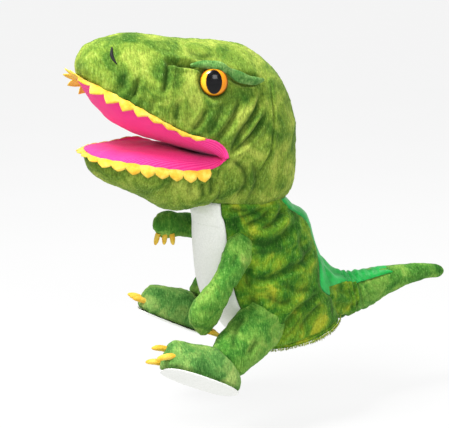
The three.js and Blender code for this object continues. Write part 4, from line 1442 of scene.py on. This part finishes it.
@dataclass
class Trunk:
    """Body and neck: level rings, cut into belly, two sides and a satin back.

    Rings are rows of y, z, tilt in degrees, half width and half depth, from the hem to the head.
    """

    rings: tuple = (
        (0, 0, 14, 49, 50),
        (-13, 20, 8, 51.5, 57),
        (-25.5, 47, 3, 52.5, 63.5),
        (-36.2, 83, 0, 51, 58.8),
        (-41.5, 113, 0, 47.5, 54.5),
        (-48.7, 123, 0, 45.5, 48.3),
        (-53, 134, 0, 43, 42.5),
        (-54, 140, 0, 40, 39),
    )
    belly: float = 45.0
    spine: tuple = (18, 24, 52, 23, 38, 43, 43, 43)
    hem: float = 0.33
    body_top: float = 4.0
    neck_split: float = 5.0
    neck_top: float = 6.2

    def point(self, angle: Points, at: Points) -> Points:
        """Points of the trunk at angles (degrees) and heights counted in rings."""
        y, z, tilt, half_width, half_depth = np.moveaxis(curve(np.array(self.rings, float), at), -1, 0)
        a, lean = np.radians(angle), np.radians(tilt)
        back = -half_depth * np.cos(a)
        return np.stack([half_width * np.sin(a), y + back * np.cos(lean), z + back * np.sin(lean)], axis=-1)

    def seams(self, at: Points) -> tuple[Points, ...]:
        """Angles of the seams from the right belly seam round; the width of the satin back varies."""
        s = curve(np.array(self.spine, float)[:, None], at)[..., 0]
        b = self.belly + 0 * at
        return (-b, b, 180 - s, 180 + s, 360 - b)

    def surface(self, panel: Panel, low: float, high: float, cell: float = 1.5) -> Surface:
        """A stretch of one panel with its folds, seams and pile.

        Args:
            panel: The panel.
            low: Lower end, counted in rings.
            high: Upper end, counted in rings.
            cell: Size of a grid cell in mm.

        Returns:
            The surface in mm.
        """
        columns = int(340 * panel.share / cell)
        rows = max(6, int((high - low) / 6 * 150 / cell))
        u, at = np.meshgrid(np.linspace(0, 1, columns), np.linspace(low, high, rows))
        seams = self.seams(at)
        start, end = seams[panel.first] + 0.2, seams[panel.first + 1] - 0.2
        angle = start + (end - start) * u
        p = self.point(angle, at)
        back = ease((seams[3] - 176 - np.abs(angle % 360 - 180)) / 8)
        flank = np.minimum(ease((angle % 360 - 38) / 14), ease((322 - angle % 360) / 14)) * (1 - back)
        height, shade = creases(p, BODY_FOLDS)
        height, shade = height * flank, shade * flank
        draped, draped_shade = creases(p, SATIN_FOLDS, (0, 2))
        height, shade = height + back * draped, np.maximum(shade, 0.8 * back * draped_shade)
        for edge in seams:
            gap = np.abs((angle - edge + 180) % 360 - 180) * 0.88
            height = height - 1.3 * np.exp(-((gap / 2.2) ** 2))
            shade = np.maximum(shade, 0.6 * np.exp(-((gap / 1.4) ** 2)))
        crumple = ease((at - 3.5) / 1.0) * ease((6.15 - at) / 0.35)
        squeezed = p * np.array([1, 1, 2.4])
        rumple = noise(squeezed, 17, 51) + 0.5 * noise(squeezed, 9, 52)
        height = height + 2.1 * crumple * rumple * (0.35 + 0.65 * flank)
        shade = np.maximum(shade, 0.7 * crumple * flank * ease(-rumple / 0.9))
        height = height + (0.4 + 1.1 * flank) * noise(p, 22, 53)
        height = height + pile(p, 0.35 + 0.65 * flank)
        return Surface(p, shade=shade).lifted(height, (0, -35, 60))

    def build(self) -> None:
        """Makes the body panels, the two halves of the neck, the tapes and the hem."""
        centre = (0, -35, 60)
        for panel in PANELS:
            main = self.surface(panel, self.hem, self.body_top)
            body = walled(f"{panel.name}_cloth", main, 1.6, centre)
            ride(dress(body, panel.finish), "torso", panel.node)
            lower = self.surface(panel, self.body_top - 0.03, self.neck_split, 1.2)
            lower_piece = dress(walled(f"{panel.name}_neck_lower", lower, 1.4, centre), panel.finish)
            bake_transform(lower_piece)
            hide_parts("neck_gusset_lower")
            upper = self.surface(panel, self.neck_split, self.neck_top, 1.2)
            upper_piece = dress(walled(f"{panel.name}_neck_upper", upper, 1.4, centre), panel.finish)
            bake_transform(upper_piece)
            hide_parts("neck_gusset_upper")
        self.tape()
        self.band()

    def tape(self) -> None:
        """The tape sewn inside the neck seam."""
        angle, at = np.meshgrid(np.linspace(0, 360, 160, endpoint=False), np.linspace(4.85, 5.15, 5))
        p = self.point(angle, at)
        weave = 0.12 * np.sin(np.radians(angle) * 120)
        inside = Surface(p, ring=True).lifted(-4.2 + weave, (0, -50, 123))
        piece = walled("neck_inner_tape", inside, 0.8, (0, -50, 123))
        ride(dress(piece, TAPE), "neck", "neck_tape")

    def band(self) -> None:
        """The turned hem with its ragged cut edge."""
        angle, v = np.meshgrid(np.linspace(0, 360, 300, endpoint=False), np.linspace(0, 1, 34))
        p = self.point(angle, v * self.hem)
        roll = np.sqrt(np.maximum(0, 1 - (2 * np.clip(v, 0, 0.5) - 1) ** 2))
        height = -2.2 + 1.6 * roll + 0.9 * noise(p, 18, 57) + pile(p, 1.2)
        stitch = np.exp(-(((v - 0.8) / 0.05) ** 2))
        height = height - 0.9 * stitch
        piece_surface = Surface(p, ring=True, shade=0.45 * stitch).lifted(height, (0, 0, 5))
        piece = walled("hem_cloth", piece_surface, 2.0, (0, 0, 5))
        ride(dress(piece, NECK_PLUSH), "torso", "hem_band")
        self.fringe()

    def fringe(self) -> None:
        """Loose pile tufts that stick out along the hem: many small pointed four-sided slivers."""
        count = 1500
        rng = np.random.default_rng(17)
        angle = rng.uniform(0, 360, count)
        dense = np.exp(-(((angle % 180 - 105) / 22) ** 2))
        root = self.point(angle, rng.uniform(0.0, 0.14, count))
        out = np.stack([np.sin(np.radians(angle)), -np.cos(np.radians(angle)), 0 * angle], axis=-1)
        length = rng.uniform(1.0, 2.0, count) + dense * rng.uniform(0.3, 2.4, count)
        aim = out * rng.uniform(0.2, 1.0, (count, 1)) + np.array([0, 0.1, -0.9]) + rng.normal(0, 0.3, (count, 3))
        piece = slivers("hem_fringe", root + out * 0.6, aim, length, 0.45, rng)
        ride(dress(piece, FRINGE), "torso")


def slivers(
    name: str, roots: Points, aims: Points, lengths: Points, width: float, rng: np.random.Generator
) -> bpy.types.Object:
    """Small closed pointed slivers of pile: a triangle at each root and a tip along its aim.

    Args:
        name: The piece's name.
        roots: Places of the roots in mm.
        aims: Directions of the tips.
        lengths: Lengths in mm.
        width: Width of a root in mm.
        rng: Random source that turns each root.

    Returns:
        One mesh of four faces per sliver.
    """
    aims = aims / np.linalg.norm(aims, axis=1, keepdims=True)
    helper = np.where(np.abs(aims[:, 2:]) < 0.9, [[0.0, 0.0, 1.0]], [[1.0, 0.0, 0.0]])
    side = np.cross(aims, helper)
    side /= np.linalg.norm(side, axis=1, keepdims=True)
    over = np.cross(aims, side)
    turn = rng.uniform(0, 2 * np.pi, len(roots))[:, None]
    corners = []
    for k in range(3):
        a = turn + k * 2 * np.pi / 3
        corners.append(roots + width * (np.cos(a) * side + np.sin(a) * over))
    tips = roots + aims * lengths[:, None]
    points = np.stack([*corners, tips], axis=1).reshape(-1, 3)
    first = 4 * np.arange(len(roots))[:, None]
    faces = np.concatenate([first + np.array(f) for f in ([0, 1, 3], [1, 2, 3], [2, 0, 3], [2, 1, 0])])
    return closed_mesh(name, points, faces.tolist(), np.zeros(len(points)))


FRINGE = Plush("fringe_pile", ((0.3, "7C9A1E"), (0.45, "93AE26"), (0.6, "B4C437"), (0.7, "CBD654")), 8)


# ------------------------------------------------------------------ tail


@dataclass
class Tail:
    """The stuffed tail, its satin strip, and the flare that joins it to the body.

    Rings are rows of y, z, tilt in degrees, half width and half height.
    """

    rings: tuple = (
        (64, 26.5, 4, 19.5, 19.5),
        (80, 29, 10, 18, 18.5),
        (111, 36, 12, 12.5, 13),
        (145, 39, 2, 8.8, 8.8),
        (163, 38.2, -8, 6.6, 6.6),
    )
    tip: float = 10.0
    flare: tuple = (
        (22, 40, 0, 34, 36.5),
        (33, 35, 0, 29.5, 30.2),
        (43, 30.5, 2, 25.0, 25.6),
        (54, 27.5, 3, 21.5, 23.2),
        (65, 27.0, 4, 20.0, 21.0),
    )
    split: float = 3.0

    @staticmethod
    def ring_points(rows: Points, angle: Points, at: Points, over: Points) -> Points:
        """Points round upright rings; over runs from 0 to 1 round the tip."""
        y, z, tilt, half_width, half_height = np.moveaxis(curve(np.array(rows, float), at), -1, 0)
        lean, a = np.radians(tilt), np.radians(angle)
        closing = np.sqrt(np.maximum(0.0, 1 - over**2))
        up = half_height * closing * np.cos(a)
        along = Tail.tip * over
        x = half_width * closing * np.sin(a)
        return np.stack(
            [x, y + along * np.cos(lean) - up * np.sin(lean), z + along * np.sin(lean) + up * np.cos(lean)], axis=-1
        )

    def cover(self) -> None:
        """The tail's plush tube with ring-shaped gathers near its root."""
        v = np.linspace(0, 1, 150)
        at = 4 * np.minimum(v / 0.86, 1)
        over = np.sin(np.clip((v - 0.86) / 0.14, 0, 1) * np.pi / 2) * 0.995
        angle, at_grid = np.meshgrid(np.linspace(0, 360, 110, endpoint=False), at)
        p = self.ring_points(self.rings, angle, at_grid, np.broadcast_to(over[:, None], angle.shape))
        gathers = self.gathers(p, angle)
        strip = np.exp(-(((np.abs((angle + 180) % 360 - 180) - 47) / 4) ** 2)) * (at_grid < 2.05)
        height = 1.3 * gathers + 0.7 * noise(p, 14, 61) + pile(p, 0.9) - 0.9 * strip
        height = height * (1 - over[:, None] * 0.8)
        shade = np.clip(np.maximum(-0.8 * gathers, 0.5 * strip), 0, 1)
        rings = Surface(p, ring=True, shade=shade).lifted(height, (0, 110, 34))
        piece = stuffed("tail_skin", rings)
        ride(dress(piece, LIMB_PLUSH), "tail", "tail_cover")

    @staticmethod
    def gathers(p: Points, angle: Points) -> Points:
        """Ring-shaped wrinkles round the tail's root, strongest where it is sewn on."""
        y = p[..., 1]
        wander = 5.0 * noise(p, 24, 63) + 2.5 * np.sin(np.radians(angle) * 2)
        near = np.exp(-np.abs(y - 62) / 16.0)
        return near * np.sin((y + wander) * 2 * np.pi / 7.5)

    def strip(self) -> None:
        """The satin strip that runs on from the back onto the tail."""
        angle, at = np.meshgrid(np.linspace(-47, 47, 60), np.linspace(0.02, 2.0, 90))
        p = self.ring_points(self.rings, angle, at, np.zeros(at.shape))
        gathers = self.gathers(p, angle)
        ends = ease((2.0 - at) / 0.12)
        height = (0.9 + 1.4 * gathers + 0.4 * noise(p, 12, 65)) * (0.3 + 0.7 * ends)
        edge = np.exp(-(((np.abs(angle) - 47) / 3.0) ** 2))
        face = Surface(p, shade=np.clip(-0.6 * gathers, 0, 1)).lifted(height - 0.8 * edge, (0, 110, 34))
        ride(dress(walled("tail_satin_strip", face, 1.0, (0, 80, 28)), SATIN), "tail", "tail_spine_strip")

    def web(self) -> None:
        """The flare between body and tail, satin above and plush below, in two halves."""
        for label, first, finish in (("satin", -1, SATIN), ("plush", 1, BODY_PLUSH)):
            for part, low, high in (("inner", 0.0, self.split), ("outer", self.split, 4.0)):
                u, at = np.meshgrid(np.linspace(0, 1, 90), np.linspace(low, high, int(26 * (high - low))))
                half_turn = 78.0 - 31.0 * ease(at / 3.4)
                turn = 2 * half_turn if first < 0 else 360 - 2 * half_turn
                angle = first * half_turn + turn * u
                p = self.ring_points(self.flare, angle, at, np.zeros(at.shape))
                rays = np.sin(np.radians(angle) * 9 + 2.0 * noise(p, 18, 67))
                web = 1.5 * rays * ease(at / 0.8) * ease((4.3 - at) / 1.6)
                gathers = self.gathers(p, angle) * ease((at - 2.2) / 1.4)
                height = web + 1.1 * gathers + 0.6 * noise(p, 12, 69)
                if label == "plush":
                    height = height + pile(p, 0.9)
                shade = np.clip(-0.4 * rays * ease(at / 0.8) - 0.6 * gathers, 0, 0.8)
                face = Surface(p, shade=shade).lifted(height, (0, 45, 28))
                piece = dress(walled(f"tail_web_{label}_{part}", face, 1.2, (0, 45, 28)), finish)
                if part == "inner":
                    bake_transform(piece)
                    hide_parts("tail_gusset_inner")
                else:
                    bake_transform(piece)
                    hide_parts("tail_gusset_outer")
        angle, at = np.meshgrid(np.linspace(0, 360, 90, endpoint=False), np.linspace(2.9, 3.1, 4))
        p = self.ring_points(self.flare, angle, at, np.zeros(at.shape))
        inside = Surface(p, ring=True).lifted(np.full(at.shape, -3.4), (0, 54, 26))
        ride(dress(walled("tail_inner_tape", inside, 0.8, (0, 54, 26)), TAPE), "tail_root", "tail_tape")

    def build(self) -> None:
        """Makes the tail's pieces."""
        self.cover()
        self.strip()
        self.web()


# ------------------------------------------------------------------ arms, legs and feet


@dataclass
class Limb:
    """A stuffed limb along a path of centres, with two half sizes at each.

    Attributes:
        name: CAD node and body it stands for.
        path: Centres in mm, from the body out.
        sizes: Half sizes sideways and up, one pair per centre.
        finish: Its cloth.
        folds: Creases seen from the side.
        held: Radius round the first centre in which the cloth is sewn down, in mm.
    """

    name: str
    path: tuple
    sizes: tuple
    finish: Finish
    folds: tuple[Fold, ...] = ()
    held: float = 14.0
    stuffing: Stuffing = field(default_factory=Stuffing)

    def form(self) -> Surface:
        """Rings along the path, closed by rounding the last stretch."""
        steps = 60
        path = evenly(np.array(self.path, float), steps)
        sizes = curve(np.array(self.sizes, float), np.linspace(0, len(self.sizes) - 1, steps))
        return tube_rings(path, sizes, 48)

    def build(self) -> bpy.types.Object:
        """Makes the limb, blows it up as cloth, then adds its folds and pile."""
        piece = stuffed(f"{self.name}_cloth", self.form())
        self.stuffing.blow(piece, (np.array(self.path[0], float), self.held))
        p = coordinates(piece)
        height, shade = creases(p, self.folds)
        rumple = noise(p, 11, 71)
        height = height + 0.7 * rumple + pile(p)
        sculpt(piece, height, np.clip(np.maximum(shade, 0.5 * ease(-rumple - 0.2)), 0, 1))
        return ride(dress(piece, self.finish), self.name, self.name)


@dataclass
class Claw:
    """A small stuffed felt claw.

    Attributes:
        base: Centre of its root in mm.
        aim: Direction it points.
        length: Length in mm.
        radius: Root radius in mm.
    """

    base: Points
    aim: Points
    length: float
    radius: float

    def build(self, name: str, body: str, node: str) -> bpy.types.Object:
        """Rings that swell a little before they close to a blunt point."""
        v = np.linspace(0, 1, 26)
        aim = np.asarray(self.aim, float) / np.linalg.norm(self.aim)
        sag = 0.06 * self.length * np.sin(np.pi * v)[:, None] * np.array([0, 0, 1.0])
        path = np.asarray(self.base, float) + aim * (self.length * v)[:, None] + sag
        profile = self.radius * (0.92 + 0.3 * v) * np.sqrt(np.maximum(1 - v**2.6, 0.004))
        rings = tube_rings(path, np.stack([profile, 0.82 * profile], axis=-1), 20, (1, 0.3, 0.1))
        rings = rings.lifted(0.16 * noise(rings.points, 1.5, 81), path.mean(axis=0))
        return ride(dress(stuffed(name, rings), FELT), body, node)


@dataclass
class Foot:
    """A stuffed foot with a flat sole and three claws.

    Attributes:
        side: 1 for left, -1 for right.
        sole: Centre of the sole in mm, for side 1.
        turn: How far the sole is rolled outwards, in degrees.
    """

    side: int
    sole: tuple
    turn: float
    claws: tuple
    length: float = 74.0
    width: float = 38.0
    pitch: float = 26.6

    def place(self, across: Points, along: Points, above: Points) -> Points:
        """Foot axes (across, along the sole, above it) to the puppet's own."""
        t, p = math.radians(self.turn), math.radians(self.pitch)
        x = across * math.cos(t) - above * math.sin(t)
        n = across * math.sin(t) + above * math.cos(t)
        y = self.sole[1] - along * math.cos(p) + n * math.sin(p)
        z = self.sole[2] + along * math.sin(p) + n * math.cos(p)
        return np.stack([self.side * (self.sole[0] + x), y, z], axis=-1)

    def half_width(self, along: Points, inset: float = 0.0) -> Points:
        """Half width of the sole at a place along it, a superellipse."""
        half = self.length / 2 - inset
        return (self.width / 2 - inset) * np.maximum(0, 1 - np.abs(along / half) ** 2.6) ** (1 / 2.6)

    def upper(self) -> bpy.types.Object:
        """The foot: arches over the sole, high at the ankle seam and lower at the toes."""
        v = np.linspace(0.03, 0.97, 60)
        along = -self.length / 2 * np.cos(np.pi * v)
        seam = 25 + (along + 24) * 0.55 - 2
        toes = 33 - 8 * np.maximum(0, (along + 7) / 44)
        rise = np.minimum(seam, toes) * np.minimum(1, 9 * np.minimum(v, 1 - v) + 0.15)
        u = np.linspace(0, np.pi, 40)
        reach = self.half_width(along)
        over = np.sin(u) ** 0.55
        top = self.place(-reach[:, None] * np.cos(u), along[:, None] + 0 * u, rise[:, None] * over[None, :])
        back = np.linspace(1, -1, 18)[1:-1]
        under = self.place(reach[:, None] * back, along[:, None] + 0 * back, 0 * reach[:, None] * back)
        rings = Surface(np.concatenate([top, under], axis=1), ring=True)
        name = SIDES[self.side]
        piece = stuffed(f"{name}_foot_cloth", rings)
        Stuffing(voxel=3.5, cap=3.5, slack=0.05).blow(piece)
        p = coordinates(piece)
        middle = self.place(np.zeros(1), np.zeros(1), np.zeros(1))[0]
        up = self.place(np.zeros(1), np.zeros(1), np.ones(1))[0] - middle
        above = (p - middle) @ up
        p = p + np.where(above < 0.2, 0.2 - above, 0.0)[:, None] * up
        place(piece, p)
        welt = np.exp(-(((above - 1.5) / 1.6) ** 2))
        height = 0.6 * noise(p, 12, 73) + pile(p) * ease((above - 0.5) / 2) - 0.8 * welt
        sculpt(piece, height, np.clip(0.45 * welt + 0.3 * ease(-noise(p, 12, 73)), 0, 1))
        return ride(dress(piece, FOOT_PLUSH), f"{name}_foot", f"{name}_foot")

    def under(self) -> bpy.types.Object:
        """The sole: a slightly padded pad with a stitched edge."""
        v = np.linspace(0.01, 0.99, 120)
        along = -(self.length / 2 + 0.4) * np.cos(np.pi * v)
        u = np.linspace(-1, 1, 60)
        reach = self.half_width(along, -0.4)
        x = reach[:, None] * u
        edge = np.sqrt(np.maximum(0, 1 - u[None, :] ** 6)) * np.sqrt(np.sin(np.pi * v))[:, None]
        depth = -0.5 - 1.9 * edge
        p = self.place(x, along[:, None] + 0 * x, depth)
        bumps = 0.35 * noise(p, 14, 75) + pile(p, 0.3)
        face = Surface(p).lifted(bumps, self.place(np.zeros(1), np.zeros(1), np.full(1, 20.0))[0])
        name = SIDES[self.side]
        centre = self.place(np.zeros(1), np.zeros(1), np.full(1, 20.0))[0]
        return ride(dress(walled(f"{name}_sole_pad", face, 0.9, centre), BELLY), f"{name}_foot", f"{name}_sole")

    def build(self) -> None:
        """Makes the foot, its sole and its claws."""
        self.upper()
        self.under()
        name = SIDES[self.side]
        for k, (root, step) in enumerate(self.claws, 1):
            base, ahead = (self.place(*(np.array([c]) for c in at))[0] for at in (root, np.add(root, step)))
            back = (base - ahead) / np.linalg.norm(base - ahead) * 4.0
            claw = Claw(base + back, ahead - base, 16.5, 3.4)
            claw.build(f"{name}_toe_claw_felt_{k}", f"{name}_foot", f"{name}_toe_claw_{k}")


def build_limbs() -> None:
    """Arms with their claws, legs and feet."""
    left_arm = Limb(
        "left_arm",
        ((30, -56, 104), (41, -69, 91), (48, -82, 74), (47, -91, 60), (41, -99, 46), (35.5, -101, 33), (33, -101, 20)),
        ((6, 15), (9, 15.5), (10, 13.2), (10.3, 11.8), (11.8, 13), (12.5, 14), (5, 6)),
        LIMB_PLUSH,
        (Fold(((-76, 92), (-86, 82)), 1.6, 2.4), Fold(((-70, 70), (-82, 60)), 1.8, 3.0)),
    )
    left_arm.build()
    right_arm = Limb(
        "right_arm",
        ((-36, -62, 95), (-45, -70, 96), (-51, -81, 97), (-49, -93, 99), (-41, -107, 102), (-34, -119, 104)),
        ((7, 10), (9.5, 12), (11, 12.3), (11, 12.2), (12, 13), (4.5, 5)),
        LIMB_PLUSH,
    )
    right_arm.build()
    for k in (-1, 0, 1):
        hand = Claw((33 + 6.2 * k, -100.0, 20.5 - 0.3 * abs(k)), (0.1 * k, 0.85, -0.42), 14.0, 3.0)
        hand.build(f"left_hand_claw_felt_{k + 2}", "left_arm", f"left_hand_claw_{k + 2}")
        hang = Claw((-36 + 2.5 * k, -112 + 5.8 * k, 96.0 - 0.6 * abs(k)), (0, 0.2 * k - 0.1, -1), 11.5, 2.9)
        hang.build(f"right_hand_claw_felt_{k + 2}", "right_arm", f"right_hand_claw_{k + 2}")
    left_claws = (
        ((-13.5, 35.2, 8), (-4, 11, -2)),
        ((-6.5, 36.6, 19), (-1.5, 13, -3)),
        ((7.5, 36.6, 9.5), (-4, 13, -6)),
    )
    right_claws = (((-4.2, 36.6, 8), (0, 10, -1)), ((4.2, 36.6, 8), (1, 10, -1)), ((12.8, 35.2, 8), (3, 10, -1)))
    feet = {
        1: Foot(1, (71, -120, -13.5), 28, left_claws),
        -1: Foot(-1, (66, -96, 0), -2, right_claws),
    }
    hips = {
        1: ((20, 4, 40), (29, -24, 33), (43, -53, 18)),
        -1: ((-30, -4, 40), (-42, -18, 35), (-55, -34, 28)),
    }
    for side, foot in feet.items():
        name = SIDES[side]
        knee = foot.place(np.zeros(1), np.full(1, -24 - 0.48 * 18), np.full(1, 25 + 0.88 * 18))[0]
        ankle = foot.place(np.zeros(1), np.full(1, -24 - 0.48 * 1.0), np.full(1, 25 + 0.88 * 1.0))[0]
        path = (*hips[side], tuple(knee), tuple(ankle))
        sizes = ((8, 16), (12, 24.5), (15, 25.5), (16.5, 22.5), (15.0, 17.5))
        thigh = (Fold(((-70, 34), (-82, 22), (-86, 10)), 2.4, 2.8), Fold(((-62, 14), (-72, 4)), 2.2, 2.8))
        Limb(f"{name}_leg", path, sizes, LIMB_PLUSH, thigh, held=16.0).build()
        foot.build()


# ------------------------------------------------------------------ hidden pieces, light and camera


def dress_hidden_pieces() -> None:
    """Gives the CAD pieces inside the puppet their own finishes."""
    finishes = {"board": BOARD, "pocket": FOAM, "foam": FOAM, "stuffing": FOAM, "washer": WASHER}
    for name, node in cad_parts.items():
        for word, finish in finishes.items():
            if name.endswith(word):
                dress(node, finish)


@dataclass
class Studio:
    """A pale floor, soft lights and the camera.

    Attributes:
        centre: Place in mm that lamps and camera look at.
        azimuth: Degrees round from the front, for the camera.
        elevation: Degrees up, for the camera.
        distance: From the centre to the camera in mm.
        lens: Focal length in mm.
        shift: Sideways and upward shift of the lens.
        floor_gap: Floor below the lowest point in mm.
        floor_half: Half the floor's width in mm.
        horizon: Heights between which the world dims.
        glow: Brightness of the world below and above them.
    """

    centre: tuple = (0.0, -35.0, 122.0)
    azimuth: float = 66.0
    elevation: float = 12.0
    distance: float = 1100.0
    lens: float = 94.8
    shift: tuple = (-0.0697, -0.0178)
    floor_gap: float = 55.0
    floor_half: float = 60000.0
    horizon: tuple = (0.1, 0.45)
    glow: tuple = (0.98, 0.42)

    def floor(self) -> None:
        """A large plain floor under the puppet."""
        low = cad_box[0][2] / MM - self.floor_gap
        half = self.floor_half
        points = np.array([[-half, -half, low], [half, -half, low], [half, half, low], [-half, half, low]])
        piece = new_mesh("studio_floor", points, [[0, 1, 2, 3]])
        r = Recipe("studio_floor_paint")
        r.surface(Roughness=1.0, Specular_IOR_Level=0.0, Emission_Color=(1, 1, 1, 1), Emission_Strength=0.86)
        piece.data.materials.append(r.colour(r.ramp(r.noise(300, 2), ((0.0, "565656"), (1.0, "5C5C5C")))))

    def aimed(self, thing: bpy.types.Object, azimuth: float, elevation: float, away: float) -> None:
        """Puts a lamp or camera away mm from the puppet's centre, looking at it, and links it."""
        a, e = math.radians(azimuth), math.radians(elevation)
        back = Vector((math.sin(a) * math.cos(e), -math.cos(a) * math.cos(e), math.sin(e)))
        thing.location = Vector(metres(self.centre)) + back * away * MM
        thing.rotation_euler = back.to_track_quat("Z", "Y").to_euler()
        bpy.context.scene.collection.objects.link(thing)

    def lamp(self, name: str, azimuth: float, elevation: float, away: float, size: float, power: float) -> None:
        """A square area lamp that looks at the puppet's centre."""
        data = bpy.data.lights.new(name, "AREA")
        data.shape = "SQUARE"
        data.size = size * MM
        data.energy = power
        self.aimed(bpy.data.objects.new(name, data), azimuth, elevation, away)

    def camera(self) -> None:
        """The camera, on a line from the centre at the given azimuth and elevation."""
        data = bpy.data.cameras.new("camera")
        data.lens = self.lens
        data.shift_x, data.shift_y = self.shift
        data.clip_start, data.clip_end = 0.05, 20
        camera = bpy.data.objects.new("camera", data)
        self.aimed(camera, self.azimuth, self.elevation, self.distance)
        bpy.context.scene.camera = camera

    def build(self) -> None:
        """Sets up a world that is white at the horizon and dimmer above, lamps, floor and camera."""
        world = bpy.data.worlds.new("studio")
        world.use_nodes = True
        nodes, links = world.node_tree.nodes, world.node_tree.links
        parts, fade = nodes.new("ShaderNodeSeparateXYZ"), nodes.new("ShaderNodeMapRange")
        links.new(nodes.new("ShaderNodeTexCoord").outputs["Generated"], parts.inputs[0])
        links.new(parts.outputs["Z"], fade.inputs[0])
        for socket, value in zip(fade.inputs[1:5], (*self.horizon, *self.glow)):
            socket.default_value = value
        nodes["Background"].inputs[0].default_value = (1.0, 1.0, 1.0, 1.0)
        links.new(fade.outputs[0], nodes["Background"].inputs[1])
        bpy.context.scene.world = world
        bpy.context.scene.view_settings.view_transform = "Standard"
        self.floor()
        self.lamp("key_lamp", 15, 60, 1300, 400, 24)
        self.lamp("fill_lamp", 75, 35, 1500, 500, 7)
        self.lamp("rim_lamp", 200, 50, 1400, 500, 5)
        self.camera()


def main() -> None:
    """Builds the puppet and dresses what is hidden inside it."""
    logging.basicConfig(level=logging.INFO, format="%(name)s: %(message)s")
    Studio().build()
    Head().build()
    Jaw().build()
    Trunk().build()
    Tail().build()
    build_limbs()
    dress_hidden_pieces()
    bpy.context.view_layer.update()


if __name__ == "__main__":
    main()
